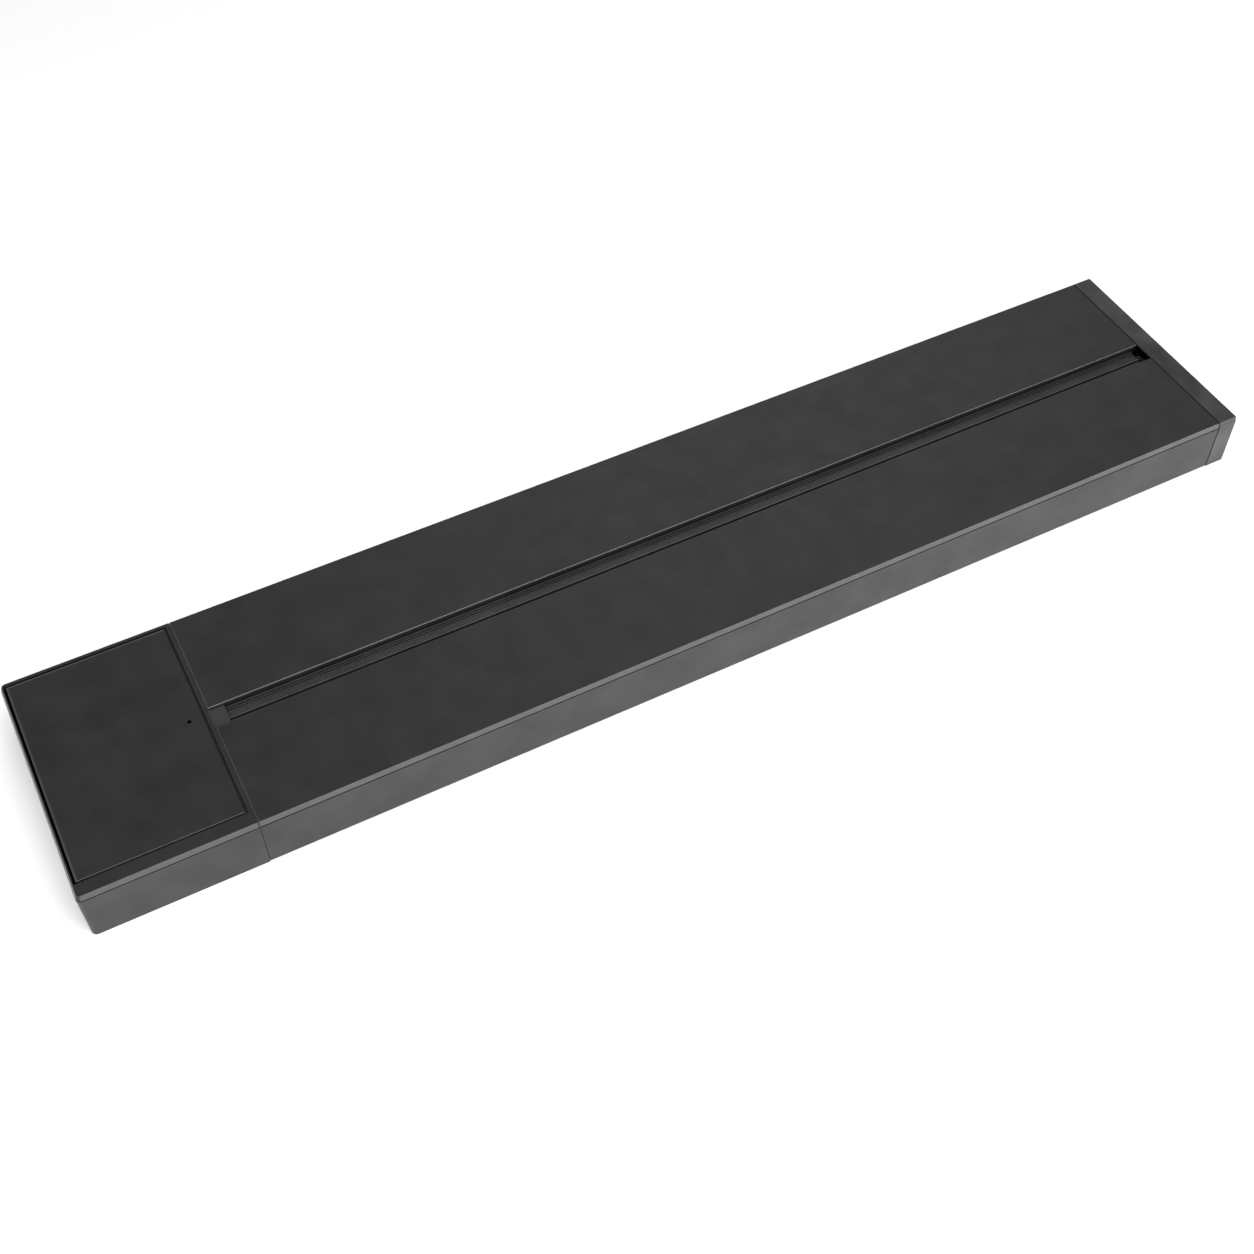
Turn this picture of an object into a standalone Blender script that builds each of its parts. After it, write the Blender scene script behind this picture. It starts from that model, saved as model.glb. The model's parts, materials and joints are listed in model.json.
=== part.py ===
"""Linear water-vapour electric fireplace, 1.2 m long, as separate pieces.

Metres, +Z up, origin at the middle of the underside. +X runs along the flame slot
towards the end cap, -Y is the fascia side, and the service module is at the -X end.
"""
import math

import bmesh
import bpy
from mathutils import Matrix

# Whole case
LENGTH = 1.200
WIDTH = 0.246
HEIGHT = 0.060
SERVICE_LENGTH = 0.157    # module at the left end
CAP_LENGTH = 0.021
SLOT_WIDTH = 0.023
SHEET = 0.0015            # steel sheet of the housings and the deck
LIP_DROP = 0.0053         # height of the sloping lip round the deck
LIP_INSET = 0.0018        # how far the lip slopes inwards
CORNER_RADIUS = 0.005
FIT_GAP = 0.0003          # between touching pieces
SEAM_GAP = 0.0008         # visible seam between two modules
OVERCUT = 0.010           # how far a cutter runs past the face that it opens
MERGED = 0.001            # how deep a joined block sits in the piece that it is joined to

# Lid, its seat and its hinge
LID_LEFT = -0.595
LID_LENGTH = 0.146
LID_WIDTH = 0.223
LID_THICKNESS = 0.002
LID_GAP = 0.002
LID_CENTRE_Y = 0.005
LID_HOLE = (-0.4614, 0.0052)
LID_HOLE_RADIUS = 0.002
PIN_RADIUS = 0.0010
PIN_LENGTH = 0.0066
HINGE_INSET = 0.0024      # hinge axis from the lid's left edge
HINGE_DROP = 0.0038       # hinge axis below the deck's top
EAR_WIDTH = 0.0040
EAR_RADIUS = 0.0022
SEAT_DROP = 0.0035        # ledge under the lid, below the deck's top
SEAT_FRAME_DROP = 0.0075
SEAT_FRAME_FRONT = -0.1165
SEAT_FRAME_REAR = 0.1196
LEDGE = 0.002             # how far the ledge reaches under the lid
SWING_ROOM = 0.009        # ledge left out beside the hinge
GASKET_EDGE = 0.0012

# Slot, grille and the rails beside them
TONGUE_DROP = 0.0025
TONGUE_END = -0.4284
TONGUE_HALF = 0.0110
GRILLE_DROP = 0.0080      # grille's top below the deck's top
GRILLE_START = -0.4265
GRILLE_END = 0.5720
GRILLE_SHEET = 0.0010
GRILLE_BAYS = 8
BAY_EDGE = 0.0015
SLIT_HALF = 0.0006
REAR_SLITS = 6
REAR_SLIT_FIRST = 0.0090
REAR_SLIT_PITCH = 0.0020
FRONT_SLITS = (-0.0055, -0.0075)
RIDGE = (-0.0032, -0.0022)
RIDGE_HEIGHT = 0.0020
RAIL_EDGES = (0.018, 0.026)
RAIL_SHEET = 0.0012
RUN_START = -0.420        # rails and light strips
RUN_END = 0.560

# Mist trough and what is in it
TROUGH_START = -0.430
TROUGH_END = 0.580
TROUGH_HALF = 0.055
TROUGH_TOP = 0.038
TROUGH_WALL = 0.002
FLANGE = 0.009
COVER_THICKNESS = 0.002
COVER_OVERHANG = 0.004
COVER_HALF = 0.0635
CHIMNEY_START = -0.4225
CHIMNEY_END = 0.5805
CHIMNEY_HALF = 0.0060
CHIMNEY_WALL = 0.0015
CHIMNEY_BELOW_GRILLE = 0.0035
SCREW_X = (-0.400, 0.540)
SCREW_Y = 0.0595
SCREW_HOLE = 0.0018
STRIP_EDGES = (0.0064, 0.0099)
STRIP_THICKNESS = 0.0014
MODULE_X = (-0.300, 0.066, 0.430)
MODULE_HALF = (0.100, 0.025)
MODULE_HEIGHT = 0.010
DISC_OFFSET = 0.060
DISC_RADIUS = 0.0096
WELL_RADIUS = 0.010
WELL_DEPTH = 0.002

# Blowers along the rear wall
BLOWER_X = (-0.300, 0.030, 0.360)
BLOWER_Y = 0.0905
BLOWER_HALF = 0.025
BLOWER_TOP = 0.032
BLOWER_EYE = 0.0170       # radius of the open top
SCROLL_RADIUS = 0.0215
SCROLL_FLOOR = 0.0045
SCROLL_ROOF = 0.0300
NOZZLE_HALF = 0.010
NOZZLE_LEVELS = (0.018, 0.030)
DUCT_HALF = 0.008
DUCT_LEVELS = (0.020, 0.028)
PORT_HALF = 0.009
PORT_LEVELS = (0.019, 0.029)
INTAKE_COUNT = 7
INTAKE_PITCH = 0.008
INTAKE_HALF = 0.0015
INTAKE_LEVELS = (0.012, 0.036)
ROTOR_FLOOR = 0.0050
ROTOR_RADIUS = 0.0190
HUB_RADIUS = 0.0070
HUB_HEIGHT = 0.0200
VANES = 10
VANE_LENGTH = 0.0124
VANE_HEIGHT = 0.0180
VANE_HALF = 0.0004
VANE_CENTRE = (0.0122, 0.0155)    # radius and level of a vane's middle

# Electronics in the front bay
SUPPLY = ((-0.400, -0.115), (-0.260, -0.068))
SUPPLY_TOP = 0.032
DRIVER = ((-0.220, -0.115), (-0.040, -0.070))
DRIVER_LEVELS = (0.0065, 0.0081)
DRIVER_FOOT = 0.002
DRIVER_FOOT_INSET = 0.005

# Water tank, cap, float, pump and hoses
TANK = ((-0.594, -0.110), (-0.487, 0.042))
TANK_TOP = 0.044
TANK_WALL = 0.002
TANK_BEVEL = 0.0025
NECK = (-0.540, -0.065)
NECK_RADIUS = 0.0165
NECK_BORE = 0.0135
NECK_HEIGHT = 0.0045
CAP_RADIUS = 0.0195
CAP_BORE = 0.0170
CAP_HEIGHT = 0.0093
CAP_ROOF = 0.0066         # underside of the cap's top, above its rim
GRIP_HALF = (0.015, 0.0022)
GRIP_HEIGHT = 0.0118
SEAL_RADII = (0.0138, 0.0162)
SEAL_HEIGHT = 0.0015
FLOAT = (-0.540, 0.015)
FLOAT_RADII = (0.0036, 0.011)
FLOAT_HEIGHT = 0.012
FLOAT_REST = 0.0055
STEM_RADIUS = 0.003
STEM_DROP = 0.003         # stem's top below the tank's top
PUMP = (-0.5625, 0.072, 0.020)
PUMP_RADIUS = 0.014
PUMP_LENGTH = 0.055
PUMP_FOOT_HALF = (0.0225, 0.010)
PUMP_FOOT_TOP = 0.012
SUCTION_X = -0.570
HOSE_RADIUS = 0.004
HOSE_Y = 0.040
HOSE_Z = 0.026
HOSE_PORT = 0.003
HOSE_PASSAGE = 0.0055
HARNESS_Y = -0.090
HARNESS_Z = 0.012
HARNESS_RADIUS = 0.003
HARNESS_PASSAGE = 0.0050

# Controls
PANEL_X = -0.4655
PANEL_HALF = 0.0135
PANEL_Y = (-0.014, 0.110)
PANEL_DROP = 0.0105       # panel's top below the deck's top
PANEL_SHEET = 0.002
BUTTON_Y = {"power": 0.030, "flame": 0.050, "light": 0.070, "speed": 0.090}
BUTTON_HOLE = 0.0049
BUTTON_RADIUS = 0.0045
BUTTON_COLLAR = 0.0056
BUTTON_LEVELS = (0.0015, -0.0031, -0.0045)    # top, collar and bottom from the panel's top
EYE_RADIUS = 0.0025
EYE_HOLE = 0.0030
EYE_HEIGHT = 0.0085
HARNESS_SLOT_HALF = 0.004
HARNESS_SLOT_LEVELS = (0.026, 0.034)
BOARD_HALF = 0.012
BOARD_Y = (-0.010, 0.106)
BOARD_LEVELS = (-0.0075, -0.0060)             # from the panel's top
POST_Y = (-0.007, 0.103)
POST_X = (-0.0115, -0.0085)                   # from the panel's middle
POST_HALF = 0.0015

# Mains inlet and switch in the rear wall
INLET_X = -0.500
INLET_Z = 0.028
INLET_HALF = (0.0135, 0.0099)
INLET_FLANGE = 0.003
INLET_BACK = 0.098
SOCKET_HALF = (0.0115, 0.0075)
SOCKET_FLOOR = 0.106
CONTACT_HALF = (0.002, 0.0005)
CONTACT_PLACES = ((-0.007, -0.002), (0.0, 0.002), (0.007, -0.002))
CONTACT_REACH = (0.104, 0.119)
SWITCH_X = -0.545
SWITCH_HALF = (0.0105, 0.0075)
SWITCH_FLANGE = 0.0025
SWITCH_BACK = 0.104
SWITCH_OPENING = (0.0090, 0.0055)
SWITCH_FLOOR = 0.110
FLANGE_SHEET = 0.0025
ROCKER_Y = 0.1190
ROCKER_TILT = 8
ROCKER_HALF = (0.0078, 0.0050)
ROCKER_REACH = (-0.0050, 0.0020)

# Levels and planes worked out from them
HALF_LENGTH = LENGTH / 2
HALF_WIDTH = WIDTH / 2
HALF_SLOT = SLOT_WIDTH / 2
SEAM_X = -HALF_LENGTH + SERVICE_LENGTH
CAP_X = HALF_LENGTH - CAP_LENGTH
SERVICE_END = SEAM_X - SEAM_GAP / 2
MAIN_START = SEAM_X + SEAM_GAP / 2
MAIN_END = CAP_X - SEAM_GAP
LIP_BOTTOM = HEIGHT - LIP_DROP
WALL_TOP = LIP_BOTTOM - FIT_GAP
FLOOR_TOP = SHEET + FIT_GAP
INNER_WALL = HALF_WIDTH - SHEET
LID_RIGHT = LID_LEFT + LID_LENGTH
LID_FRONT = LID_CENTRE_Y - LID_WIDTH / 2
LID_REAR = LID_CENTRE_Y + LID_WIDTH / 2
HINGE_X = LID_LEFT + HINGE_INSET
HINGE_Z = HEIGHT - HINGE_DROP
SEAT_TOP = HEIGHT - SEAT_DROP
GRILLE_TOP = HEIGHT - GRILLE_DROP
COVER_BOTTOM = TROUGH_TOP + FIT_GAP
COVER_TOP = COVER_BOTTOM + COVER_THICKNESS
ON_COVER = COVER_TOP + FIT_GAP
PANEL_TOP = HEIGHT - PANEL_DROP


# ---------------------------------------------------------------- scene and materials
def clear_scene():
    for item in list(bpy.data.objects):
        bpy.data.objects.remove(item, do_unlink=True)


def new_collection(name):
    collection = bpy.data.collections.new(name)
    bpy.context.scene.collection.children.link(collection)
    return collection


def paint(name, colour, roughness, metallic):
    material = bpy.data.materials.new(name)
    material.use_nodes = True
    shader = material.node_tree.nodes["Principled BSDF"]
    shader.inputs["Base Color"].default_value = (*colour, 1.0)
    shader.inputs["Roughness"].default_value = roughness
    shader.inputs["Metallic"].default_value = metallic
    material.diffuse_color = (*colour, 1.0)
    return material


clear_scene()
PARTS = new_collection("electric_fireplace")
CUTTERS = new_collection("cutters")

BLACK_STEEL = paint("black_steel", (0.035, 0.035, 0.036), 0.45, 0.0)
BLACK_GRILLE = paint("black_grille", (0.025, 0.025, 0.026), 0.5, 0.0)
BARE_STEEL = paint("bare_steel", (0.55, 0.55, 0.56), 0.35, 1.0)
DARK_PLASTIC = paint("dark_plastic", (0.03, 0.03, 0.032), 0.55, 0.0)
TANK_PLASTIC = paint("tank_plastic", (0.62, 0.68, 0.72), 0.35, 0.0)
RUBBER = paint("rubber", (0.02, 0.02, 0.02), 0.8, 0.0)
BOARD_GREEN = paint("board_green", (0.02, 0.12, 0.06), 0.5, 0.0)
STRIP_WHITE = paint("strip_white", (0.85, 0.85, 0.83), 0.5, 0.0)
HOSE_CLEAR = paint("hose_clear", (0.70, 0.74, 0.76), 0.3, 0.0)
CERAMIC = paint("ceramic", (0.78, 0.76, 0.70), 0.4, 0.0)


# ---------------------------------------------------------------- modelling tools
def link(name, data, material, collection=None):
    item = bpy.data.objects.new(name, data)
    (collection or PARTS).objects.link(item)
    if collection is CUTTERS:
        item.hide_render = True
        item.display_type = "WIRE"
    else:
        data.materials.append(material)
    return item


def mesh_object(name, bm, material, collection=None):
    mesh = bpy.data.meshes.new(name)
    bmesh.ops.recalc_face_normals(bm, faces=bm.faces)
    bm.to_mesh(mesh)
    bm.free()
    return link(name, mesh, material, collection)


def add_bevel(item, width, segments=1):
    bevel = item.modifiers.new("Bevel", "BEVEL")
    bevel.width = width
    bevel.segments = segments
    bevel.limit_method = "ANGLE"
    return bevel


def add_solidify(item, thickness, offset=-1.0):
    wall = item.modifiers.new("Solidify", "SOLIDIFY")
    wall.thickness = thickness
    wall.offset = offset
    wall.use_even_offset = True
    return wall


def box_into(bm, low, high):
    size = [b - a for a, b in zip(low, high)]
    centre = [(a + b) / 2 for a, b in zip(low, high)]
    made = bmesh.ops.create_cube(bm, size=1.0)["verts"]
    bmesh.ops.scale(bm, vec=size, verts=made)
    bmesh.ops.translate(bm, vec=centre, verts=made)


def add_box(name, low, high, material, bevel=0.0, collection=None):
    """A block between two corners, with its origin at its middle."""
    centre = [(a + b) / 2 for a, b in zip(low, high)]
    half = [(b - a) / 2 for a, b in zip(low, high)]
    bm = bmesh.new()
    box_into(bm, [-h for h in half], half)
    item = mesh_object(name, bm, material, collection)
    item.location = centre
    if bevel:
        add_bevel(item, bevel)
    return item


def cylinder_into(bm, centre, radius, length, axis="Z", segments=24):
    made = bmesh.ops.create_cone(bm, cap_ends=True, segments=segments, radius1=radius,
                                 radius2=radius, depth=length)["verts"]
    if axis != "Z":
        turn = Matrix.Rotation(math.pi / 2, 3, "Y" if axis == "X" else "X")
        bmesh.ops.rotate(bm, verts=made, matrix=turn)
    bmesh.ops.translate(bm, vec=centre, verts=made)


def add_cylinder(name, centre, radius, length, axis="Z", material=None, segments=24,
                 collection=None):
    bm = bmesh.new()
    cylinder_into(bm, (0, 0, 0), radius, length, axis, segments)
    item = mesh_object(name, bm, material, collection)
    item.location = centre
    if collection is None:
        round_shading(item)
    return item


def round_shading(item):
    item.data.shade_smooth()
    item.data.set_sharp_from_angle(angle=math.radians(35))


def add_turned(name, profile, location, material, steps=24, collection=None):
    """A profile of (radius, height) points turned about the vertical through location."""
    bm = bmesh.new()
    points = [bm.verts.new((radius, 0.0, height)) for radius, height in profile]
    for start, end in zip(points, points[1:]):
        bm.edges.new((start, end))
    mesh = bpy.data.meshes.new(name)
    bm.to_mesh(mesh)
    bm.free()
    item = link(name, mesh, material, collection)
    item.location = location
    screw = item.modifiers.new("Screw", "SCREW")
    screw.steps = steps
    screw.render_steps = steps
    screw.use_merge_vertices = True
    screw.merge_threshold = 0.0001
    screw.use_smooth_shade = True
    return item


def add_folded_sheet(name, profile, start, end, thickness, material, offset=-1.0):
    """A bent sheet: a (y, z) fold line drawn out along X and thickened.

    Seen from the start end, the thickness is on the right of the fold line's direction.
    """
    bm = bmesh.new()
    for (y0, z0), (y1, z1) in zip(profile, profile[1:]):
        corners = [bm.verts.new(v) for v in
                   ((start, y0, z0), (end, y0, z0), (end, y1, z1), (start, y1, z1))]
        bm.faces.new(corners)
    bmesh.ops.remove_doubles(bm, verts=bm.verts, dist=0.00001)
    mesh = bpy.data.meshes.new(name)
    bm.to_mesh(mesh)
    bm.free()
    item = link(name, mesh, material)
    add_solidify(item, thickness, offset)
    return item


def add_section(name, outline, start, end, material):
    """A straight bar with a constant (y, z) outline between two places along X."""
    curve = bpy.data.curves.new(name, "CURVE")
    curve.dimensions = "2D"
    curve.fill_mode = "BOTH"
    curve.extrude = (end - start) / 2
    spline = curve.splines.new("POLY")
    spline.points.add(len(outline) - 1)
    for point, (y, z) in zip(spline.points, outline):
        point.co = (y, z, 0.0, 1.0)
    spline.use_cyclic_u = True
    item = link(name, curve, material)
    item.location = ((start + end) / 2, 0, 0)
    item.rotation_euler = (math.pi / 2, 0, math.pi / 2)
    return item


def combine(target, other, operation):
    """Cut other out of target, or join it on, and keep other as a hidden guide."""
    step = target.modifiers.new(operation.title(), "BOOLEAN")
    step.operation = operation
    step.solver = "EXACT"
    step.object = other


def cut_boxes(target, blocks):
    bm = bmesh.new()
    for low, high in blocks:
        box_into(bm, low, high)
    combine(target, mesh_object(target.name + "_cut", bm, None, CUTTERS), "DIFFERENCE")


def cut_cylinders(target, holes, segments=24):
    """Each hole is (centre, radius, length, axis)."""
    bm = bmesh.new()
    for centre, radius, length, axis in holes:
        cylinder_into(bm, centre, radius, length, axis, segments)
    combine(target, mesh_object(target.name + "_bore", bm, None, CUTTERS), "DIFFERENCE")


def join_boxes(target, blocks):
    for number, (low, high) in enumerate(blocks):
        block = add_box(f"{target.name}_add_{number}", low, high, None, 0.0, CUTTERS)
        combine(target, block, "UNION")


# ---------------------------------------------------------------- housings
def rounded_left_outline(left, right, half_width, radius, steps=4):
    """Corner points of a rectangle whose two left corners are rounded."""
    points = [(right, -half_width), (right, half_width)]
    for side, first in ((1, 90), (-1, 180)):
        centre = (left + radius, side * (half_width - radius))
        for step in range(steps + 1):
            angle = math.radians(first + 90 * step / steps)
            points.append((centre[0] + radius * math.cos(angle),
                           centre[1] + radius * math.sin(angle)))
    return points


def rear_wall_cutout(middle_x, half):
    """Block that opens the rear wall round a fitting with the given half sizes."""
    wide = half[0] + FIT_GAP
    tall = half[1] + FIT_GAP
    return ((middle_x - wide, INNER_WALL - OVERCUT, INLET_Z - tall),
            (middle_x + wide, HALF_WIDTH + OVERCUT, INLET_Z + tall))


def make_service_housing():
    """Open-topped box at the left end, its two outer corners rounded."""
    outline = rounded_left_outline(-HALF_LENGTH, SERVICE_END, HALF_WIDTH, CORNER_RADIUS)
    bm = bmesh.new()
    floor = bm.faces.new([bm.verts.new((x, y, 0.0)) for x, y in outline])
    if floor.normal.z > 0:
        floor.normal_flip()
    walls = bmesh.ops.extrude_edge_only(bm, edges=list(bm.edges))["geom"]
    raised = [item for item in walls if isinstance(item, bmesh.types.BMVert)]
    bmesh.ops.translate(bm, vec=(0, 0, WALL_TOP), verts=raised)
    housing = mesh_object("service_housing", bm, BLACK_STEEL)
    add_solidify(housing, SHEET, inward_offset(housing))
    cut_boxes(housing, [rear_wall_cutout(INLET_X, INLET_HALF),
                        rear_wall_cutout(SWITCH_X, SWITCH_HALF)])
    through = 2 * OVERCUT
    cut_cylinders(housing, [((SERVICE_END, HOSE_Y, HOSE_Z), HOSE_PASSAGE, through, "X"),
                            ((SERVICE_END, HARNESS_Y, HARNESS_Z), HARNESS_PASSAGE, through, "X")])


def make_main_housing():
    """Long channel: fascia, floor and rear wall folded from one sheet."""
    fold = [(HALF_WIDTH, WALL_TOP), (HALF_WIDTH, 0.0), (-HALF_WIDTH, 0.0),
            (-HALF_WIDTH, WALL_TOP)]
    housing = add_folded_sheet("main_housing", fold, MAIN_START, MAIN_END, SHEET,
                               BLACK_STEEL)
    low, high = INTAKE_LEVELS
    slits = []
    for centre in BLOWER_X:
        for number in range(INTAKE_COUNT):
            middle = centre + (number - (INTAKE_COUNT - 1) / 2) * INTAKE_PITCH
            slits.append(((middle - INTAKE_HALF, INNER_WALL - OVERCUT, low),
                          (middle + INTAKE_HALF, HALF_WIDTH + OVERCUT, high)))
    cut_boxes(housing, slits)


def make_end_cap():
    """Hollow cap that closes the right end and carries the lip's slope round it."""
    section = [(-HALF_WIDTH, 0.0), (-HALF_WIDTH, LIP_BOTTOM),
               (-HALF_WIDTH + LIP_INSET, HEIGHT), (HALF_WIDTH - LIP_INSET, HEIGHT),
               (HALF_WIDTH, LIP_BOTTOM), (HALF_WIDTH, 0.0)]
    bm = bmesh.new()
    bm.faces.new([bm.verts.new((HALF_LENGTH, y, z)) for y, z in section])
    sides = bmesh.ops.extrude_edge_only(bm, edges=list(bm.edges))["geom"]
    inner = [item for item in sides if isinstance(item, bmesh.types.BMVert)]
    bmesh.ops.translate(bm, vec=(-CAP_LENGTH, 0, 0), verts=inner)
    cap = mesh_object("end_cap", bm, BLACK_STEEL)
    add_solidify(cap, SHEET)


# ---------------------------------------------------------------- deck
def sloped_block(name, inward, right, low, high, material, collection=None):
    """Solid block under the deck's sloping lip, its faces moved inwards by inward."""
    slope = LIP_INSET / LIP_DROP
    bm = bmesh.new()
    rings = []
    for level in (low, high):
        inset = inward + slope * (level - LIP_BOTTOM)
        outline = rounded_left_outline(-HALF_LENGTH + inset, right, HALF_WIDTH - inset,
                                       CORNER_RADIUS - inset)
        rings.append([bm.verts.new((x, y, level)) for x, y in outline])
    lower, upper = rings
    bm.faces.new(upper)
    bm.faces.new(list(reversed(lower)))
    for number in range(len(lower)):
        after = (number + 1) % len(lower)
        bm.faces.new((lower[number], lower[after], upper[after], upper[number]))
    return mesh_object(name, bm, material, collection)


def make_service_deck():
    """Top of the service module: sloping lip, lid opening and the slot's end tongue."""
    deck = sloped_block("service_deck", 0.0, SERVICE_END, LIP_BOTTOM, HEIGHT, BLACK_STEEL)
    below = LIP_BOTTOM - LIP_INSET
    hollow = sloped_block("service_deck_hollow", SHEET, SERVICE_END + OVERCUT, below,
                          HEIGHT - SHEET, None, CUTTERS)
    combine(deck, hollow, "DIFFERENCE")
    cut_boxes(deck, [((LID_LEFT - LID_GAP, LID_FRONT - LID_GAP, LIP_BOTTOM - OVERCUT),
                      (LID_RIGHT + LID_GAP, LID_REAR + LID_GAP, HEIGHT + OVERCUT))])
    combine(deck, make_slot_tongue(), "UNION")


def make_slot_tongue():
    """Bent tongue that runs from the service deck down into the slot's left end."""
    skin = 0.0001
    root = SERVICE_END - 2 * SHEET
    bend_start = SERVICE_END - 0.4 * SHEET
    bend_end = SERVICE_END + 2 * SHEET
    low = HEIGHT - TONGUE_DROP
    fold = [(root, HEIGHT - skin), (bend_start, HEIGHT - skin), (bend_end, low), (TONGUE_END, low)]
    bm = bmesh.new()
    for (x0, z0), (x1, z1) in zip(fold, fold[1:]):
        corners = [bm.verts.new(v) for v in
                   ((x0, -TONGUE_HALF, z0), (x1, -TONGUE_HALF, z1),
                    (x1, TONGUE_HALF, z1), (x0, TONGUE_HALF, z0))]
        bm.faces.new(corners)
    bmesh.ops.remove_doubles(bm, verts=bm.verts, dist=0.00001)
    tongue = mesh_object("slot_tongue", bm, None, CUTTERS)
    add_solidify(tongue, SHEET - 4 * skin, downward_offset(tongue))
    return tongue


def downward_offset(sheet):
    """Solidify offset that thickens a sheet downwards, whichever way it faces."""
    return -1.0 if sheet.data.polygons[0].normal.z > 0 else 1.0


def inward_offset(tray):
    """Solidify offset that thickens an open tray towards its inside."""
    floor = min(tray.data.polygons, key=lambda face: face.center.z)
    return -1.0 if floor.normal.z < 0 else 1.0


def make_lid_seat_frame():
    """Three-sided ledge under the lid opening, with lugs that hold the lid's pins."""
    bottom = HEIGHT - SEAT_FRAME_DROP
    left = LID_LEFT - SHEET
    frame = add_box("lid_seat_frame", (left, SEAT_FRAME_FRONT, bottom),
                    (SERVICE_END - SHEET - FIT_GAP, SEAT_FRAME_REAR, HEIGHT - SHEET - FIT_GAP),
                    BLACK_STEEL)
    front = LID_FRONT - LID_GAP
    rear = LID_REAR + LID_GAP
    under = bottom - OVERCUT
    over = HEIGHT + OVERCUT
    pocket = ((left - OVERCUT, front, SEAT_TOP), (LID_RIGHT + LID_GAP, rear, over))
    through = ((left - OVERCUT, LID_FRONT + LEDGE, under), (LID_RIGHT - LEDGE, LID_REAR - LEDGE, over))
    swing = ((left - OVERCUT, front, under), (LID_LEFT + SWING_ROOM, rear, over))
    for block in (pocket, through, swing):
        cut_boxes(frame, [block])
    cut_cylinders(frame, [((HINGE_X, side, HINGE_Z), PIN_RADIUS + FIT_GAP, 2 * OVERCUT, "Y")
                          for side in (front, rear)])


def make_lid_gasket():
    """Rubber strip along the three ledges of the seat frame."""
    low = SEAT_TOP + FIT_GAP
    high = HEIGHT - LID_THICKNESS - FIT_GAP
    inner = LEDGE - FIT_GAP
    left = LID_LEFT + SWING_ROOM + 2 * FIT_GAP
    gasket = add_box("lid_gasket", (left, LID_FRONT - GASKET_EDGE, low),
                     (LID_RIGHT + GASKET_EDGE, LID_REAR + GASKET_EDGE, high), RUBBER)
    cut_boxes(gasket, [((left - OVERCUT, LID_FRONT + inner, low - OVERCUT),
                        (LID_RIGHT - inner, LID_REAR - inner, high + OVERCUT))])


def make_lid():
    """Flush lid with a small lifting hole and two ears that turn on the hinge pins."""
    empty = bpy.data.objects.new("lid_axis", None)
    empty.location = (HINGE_X, 0, HINGE_Z)
    PARTS.objects.link(empty)
    lid = add_box("lid", (LID_LEFT, LID_FRONT, HEIGHT - LID_THICKNESS),
                  (LID_RIGHT, LID_REAR, HEIGHT), BLACK_STEEL, bevel=LID_THICKNESS / 4)
    lid.parent = empty
    lid.location = (lid.location.x - HINGE_X, lid.location.y, lid.location.z - HINGE_Z)
    edge = FIT_GAP / 2
    ears = [((HINGE_X - EAR_RADIUS, start, HINGE_Z - EAR_RADIUS),
             (HINGE_X + 1.6 * EAR_RADIUS, start + EAR_WIDTH, HEIGHT - LID_THICKNESS / 2))
            for start in (LID_FRONT + edge, LID_REAR - EAR_WIDTH - edge)]
    join_boxes(lid, ears)
    cut_cylinders(lid, [((HINGE_X, LID_CENTRE_Y, HINGE_Z), PIN_RADIUS + FIT_GAP,
                         LID_WIDTH + 2 * OVERCUT, "Y"),
                        ((*LID_HOLE, HEIGHT), LID_HOLE_RADIUS, 2 * OVERCUT, "Z")], 16)


def make_lid_pins():
    for name, middle in (("front", LID_FRONT), ("rear", LID_REAR)):
        add_cylinder(f"lid_pin_{name}", (HINGE_X, middle, HINGE_Z), PIN_RADIUS, PIN_LENGTH, "Y",
                     BARE_STEEL, 12)


def make_deck_plates():
    """Front and rear plates: sloping lip outside, fold down beside the slot."""
    under = HEIGHT - SHEET
    lip_inside = HALF_WIDTH - LIP_INSET * (under - LIP_BOTTOM) / LIP_DROP - SHEET
    section = [(HALF_WIDTH, LIP_BOTTOM), (HALF_WIDTH - LIP_INSET, HEIGHT),
               (HALF_SLOT, HEIGHT), (HALF_SLOT, GRILLE_TOP), (HALF_SLOT + SHEET, GRILLE_TOP),
               (HALF_SLOT + SHEET, under), (lip_inside, under), (HALF_WIDTH - SHEET, LIP_BOTTOM)]
    for name, side in (("front", -1), ("rear", 1)):
        outline = [(side * y, z) for y, z in section]
        add_section(f"{name}_deck_plate", outline, MAIN_START, MAIN_END, BLACK_STEEL)


def make_deck_rails():
    """Folded rails that stand on the trough cover and carry the plates by the slot."""
    top = HEIGHT - SHEET - FIT_GAP
    for name, side in (("front", -1), ("rear", 1)):
        near, far = sorted(side * edge for edge in RAIL_EDGES)
        fold = [(near, ON_COVER), (near, top), (far, top), (far, ON_COVER)]
        add_folded_sheet(f"deck_rail_{name}", fold, RUN_START, RUN_END, RAIL_SHEET, BARE_STEEL)


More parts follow.
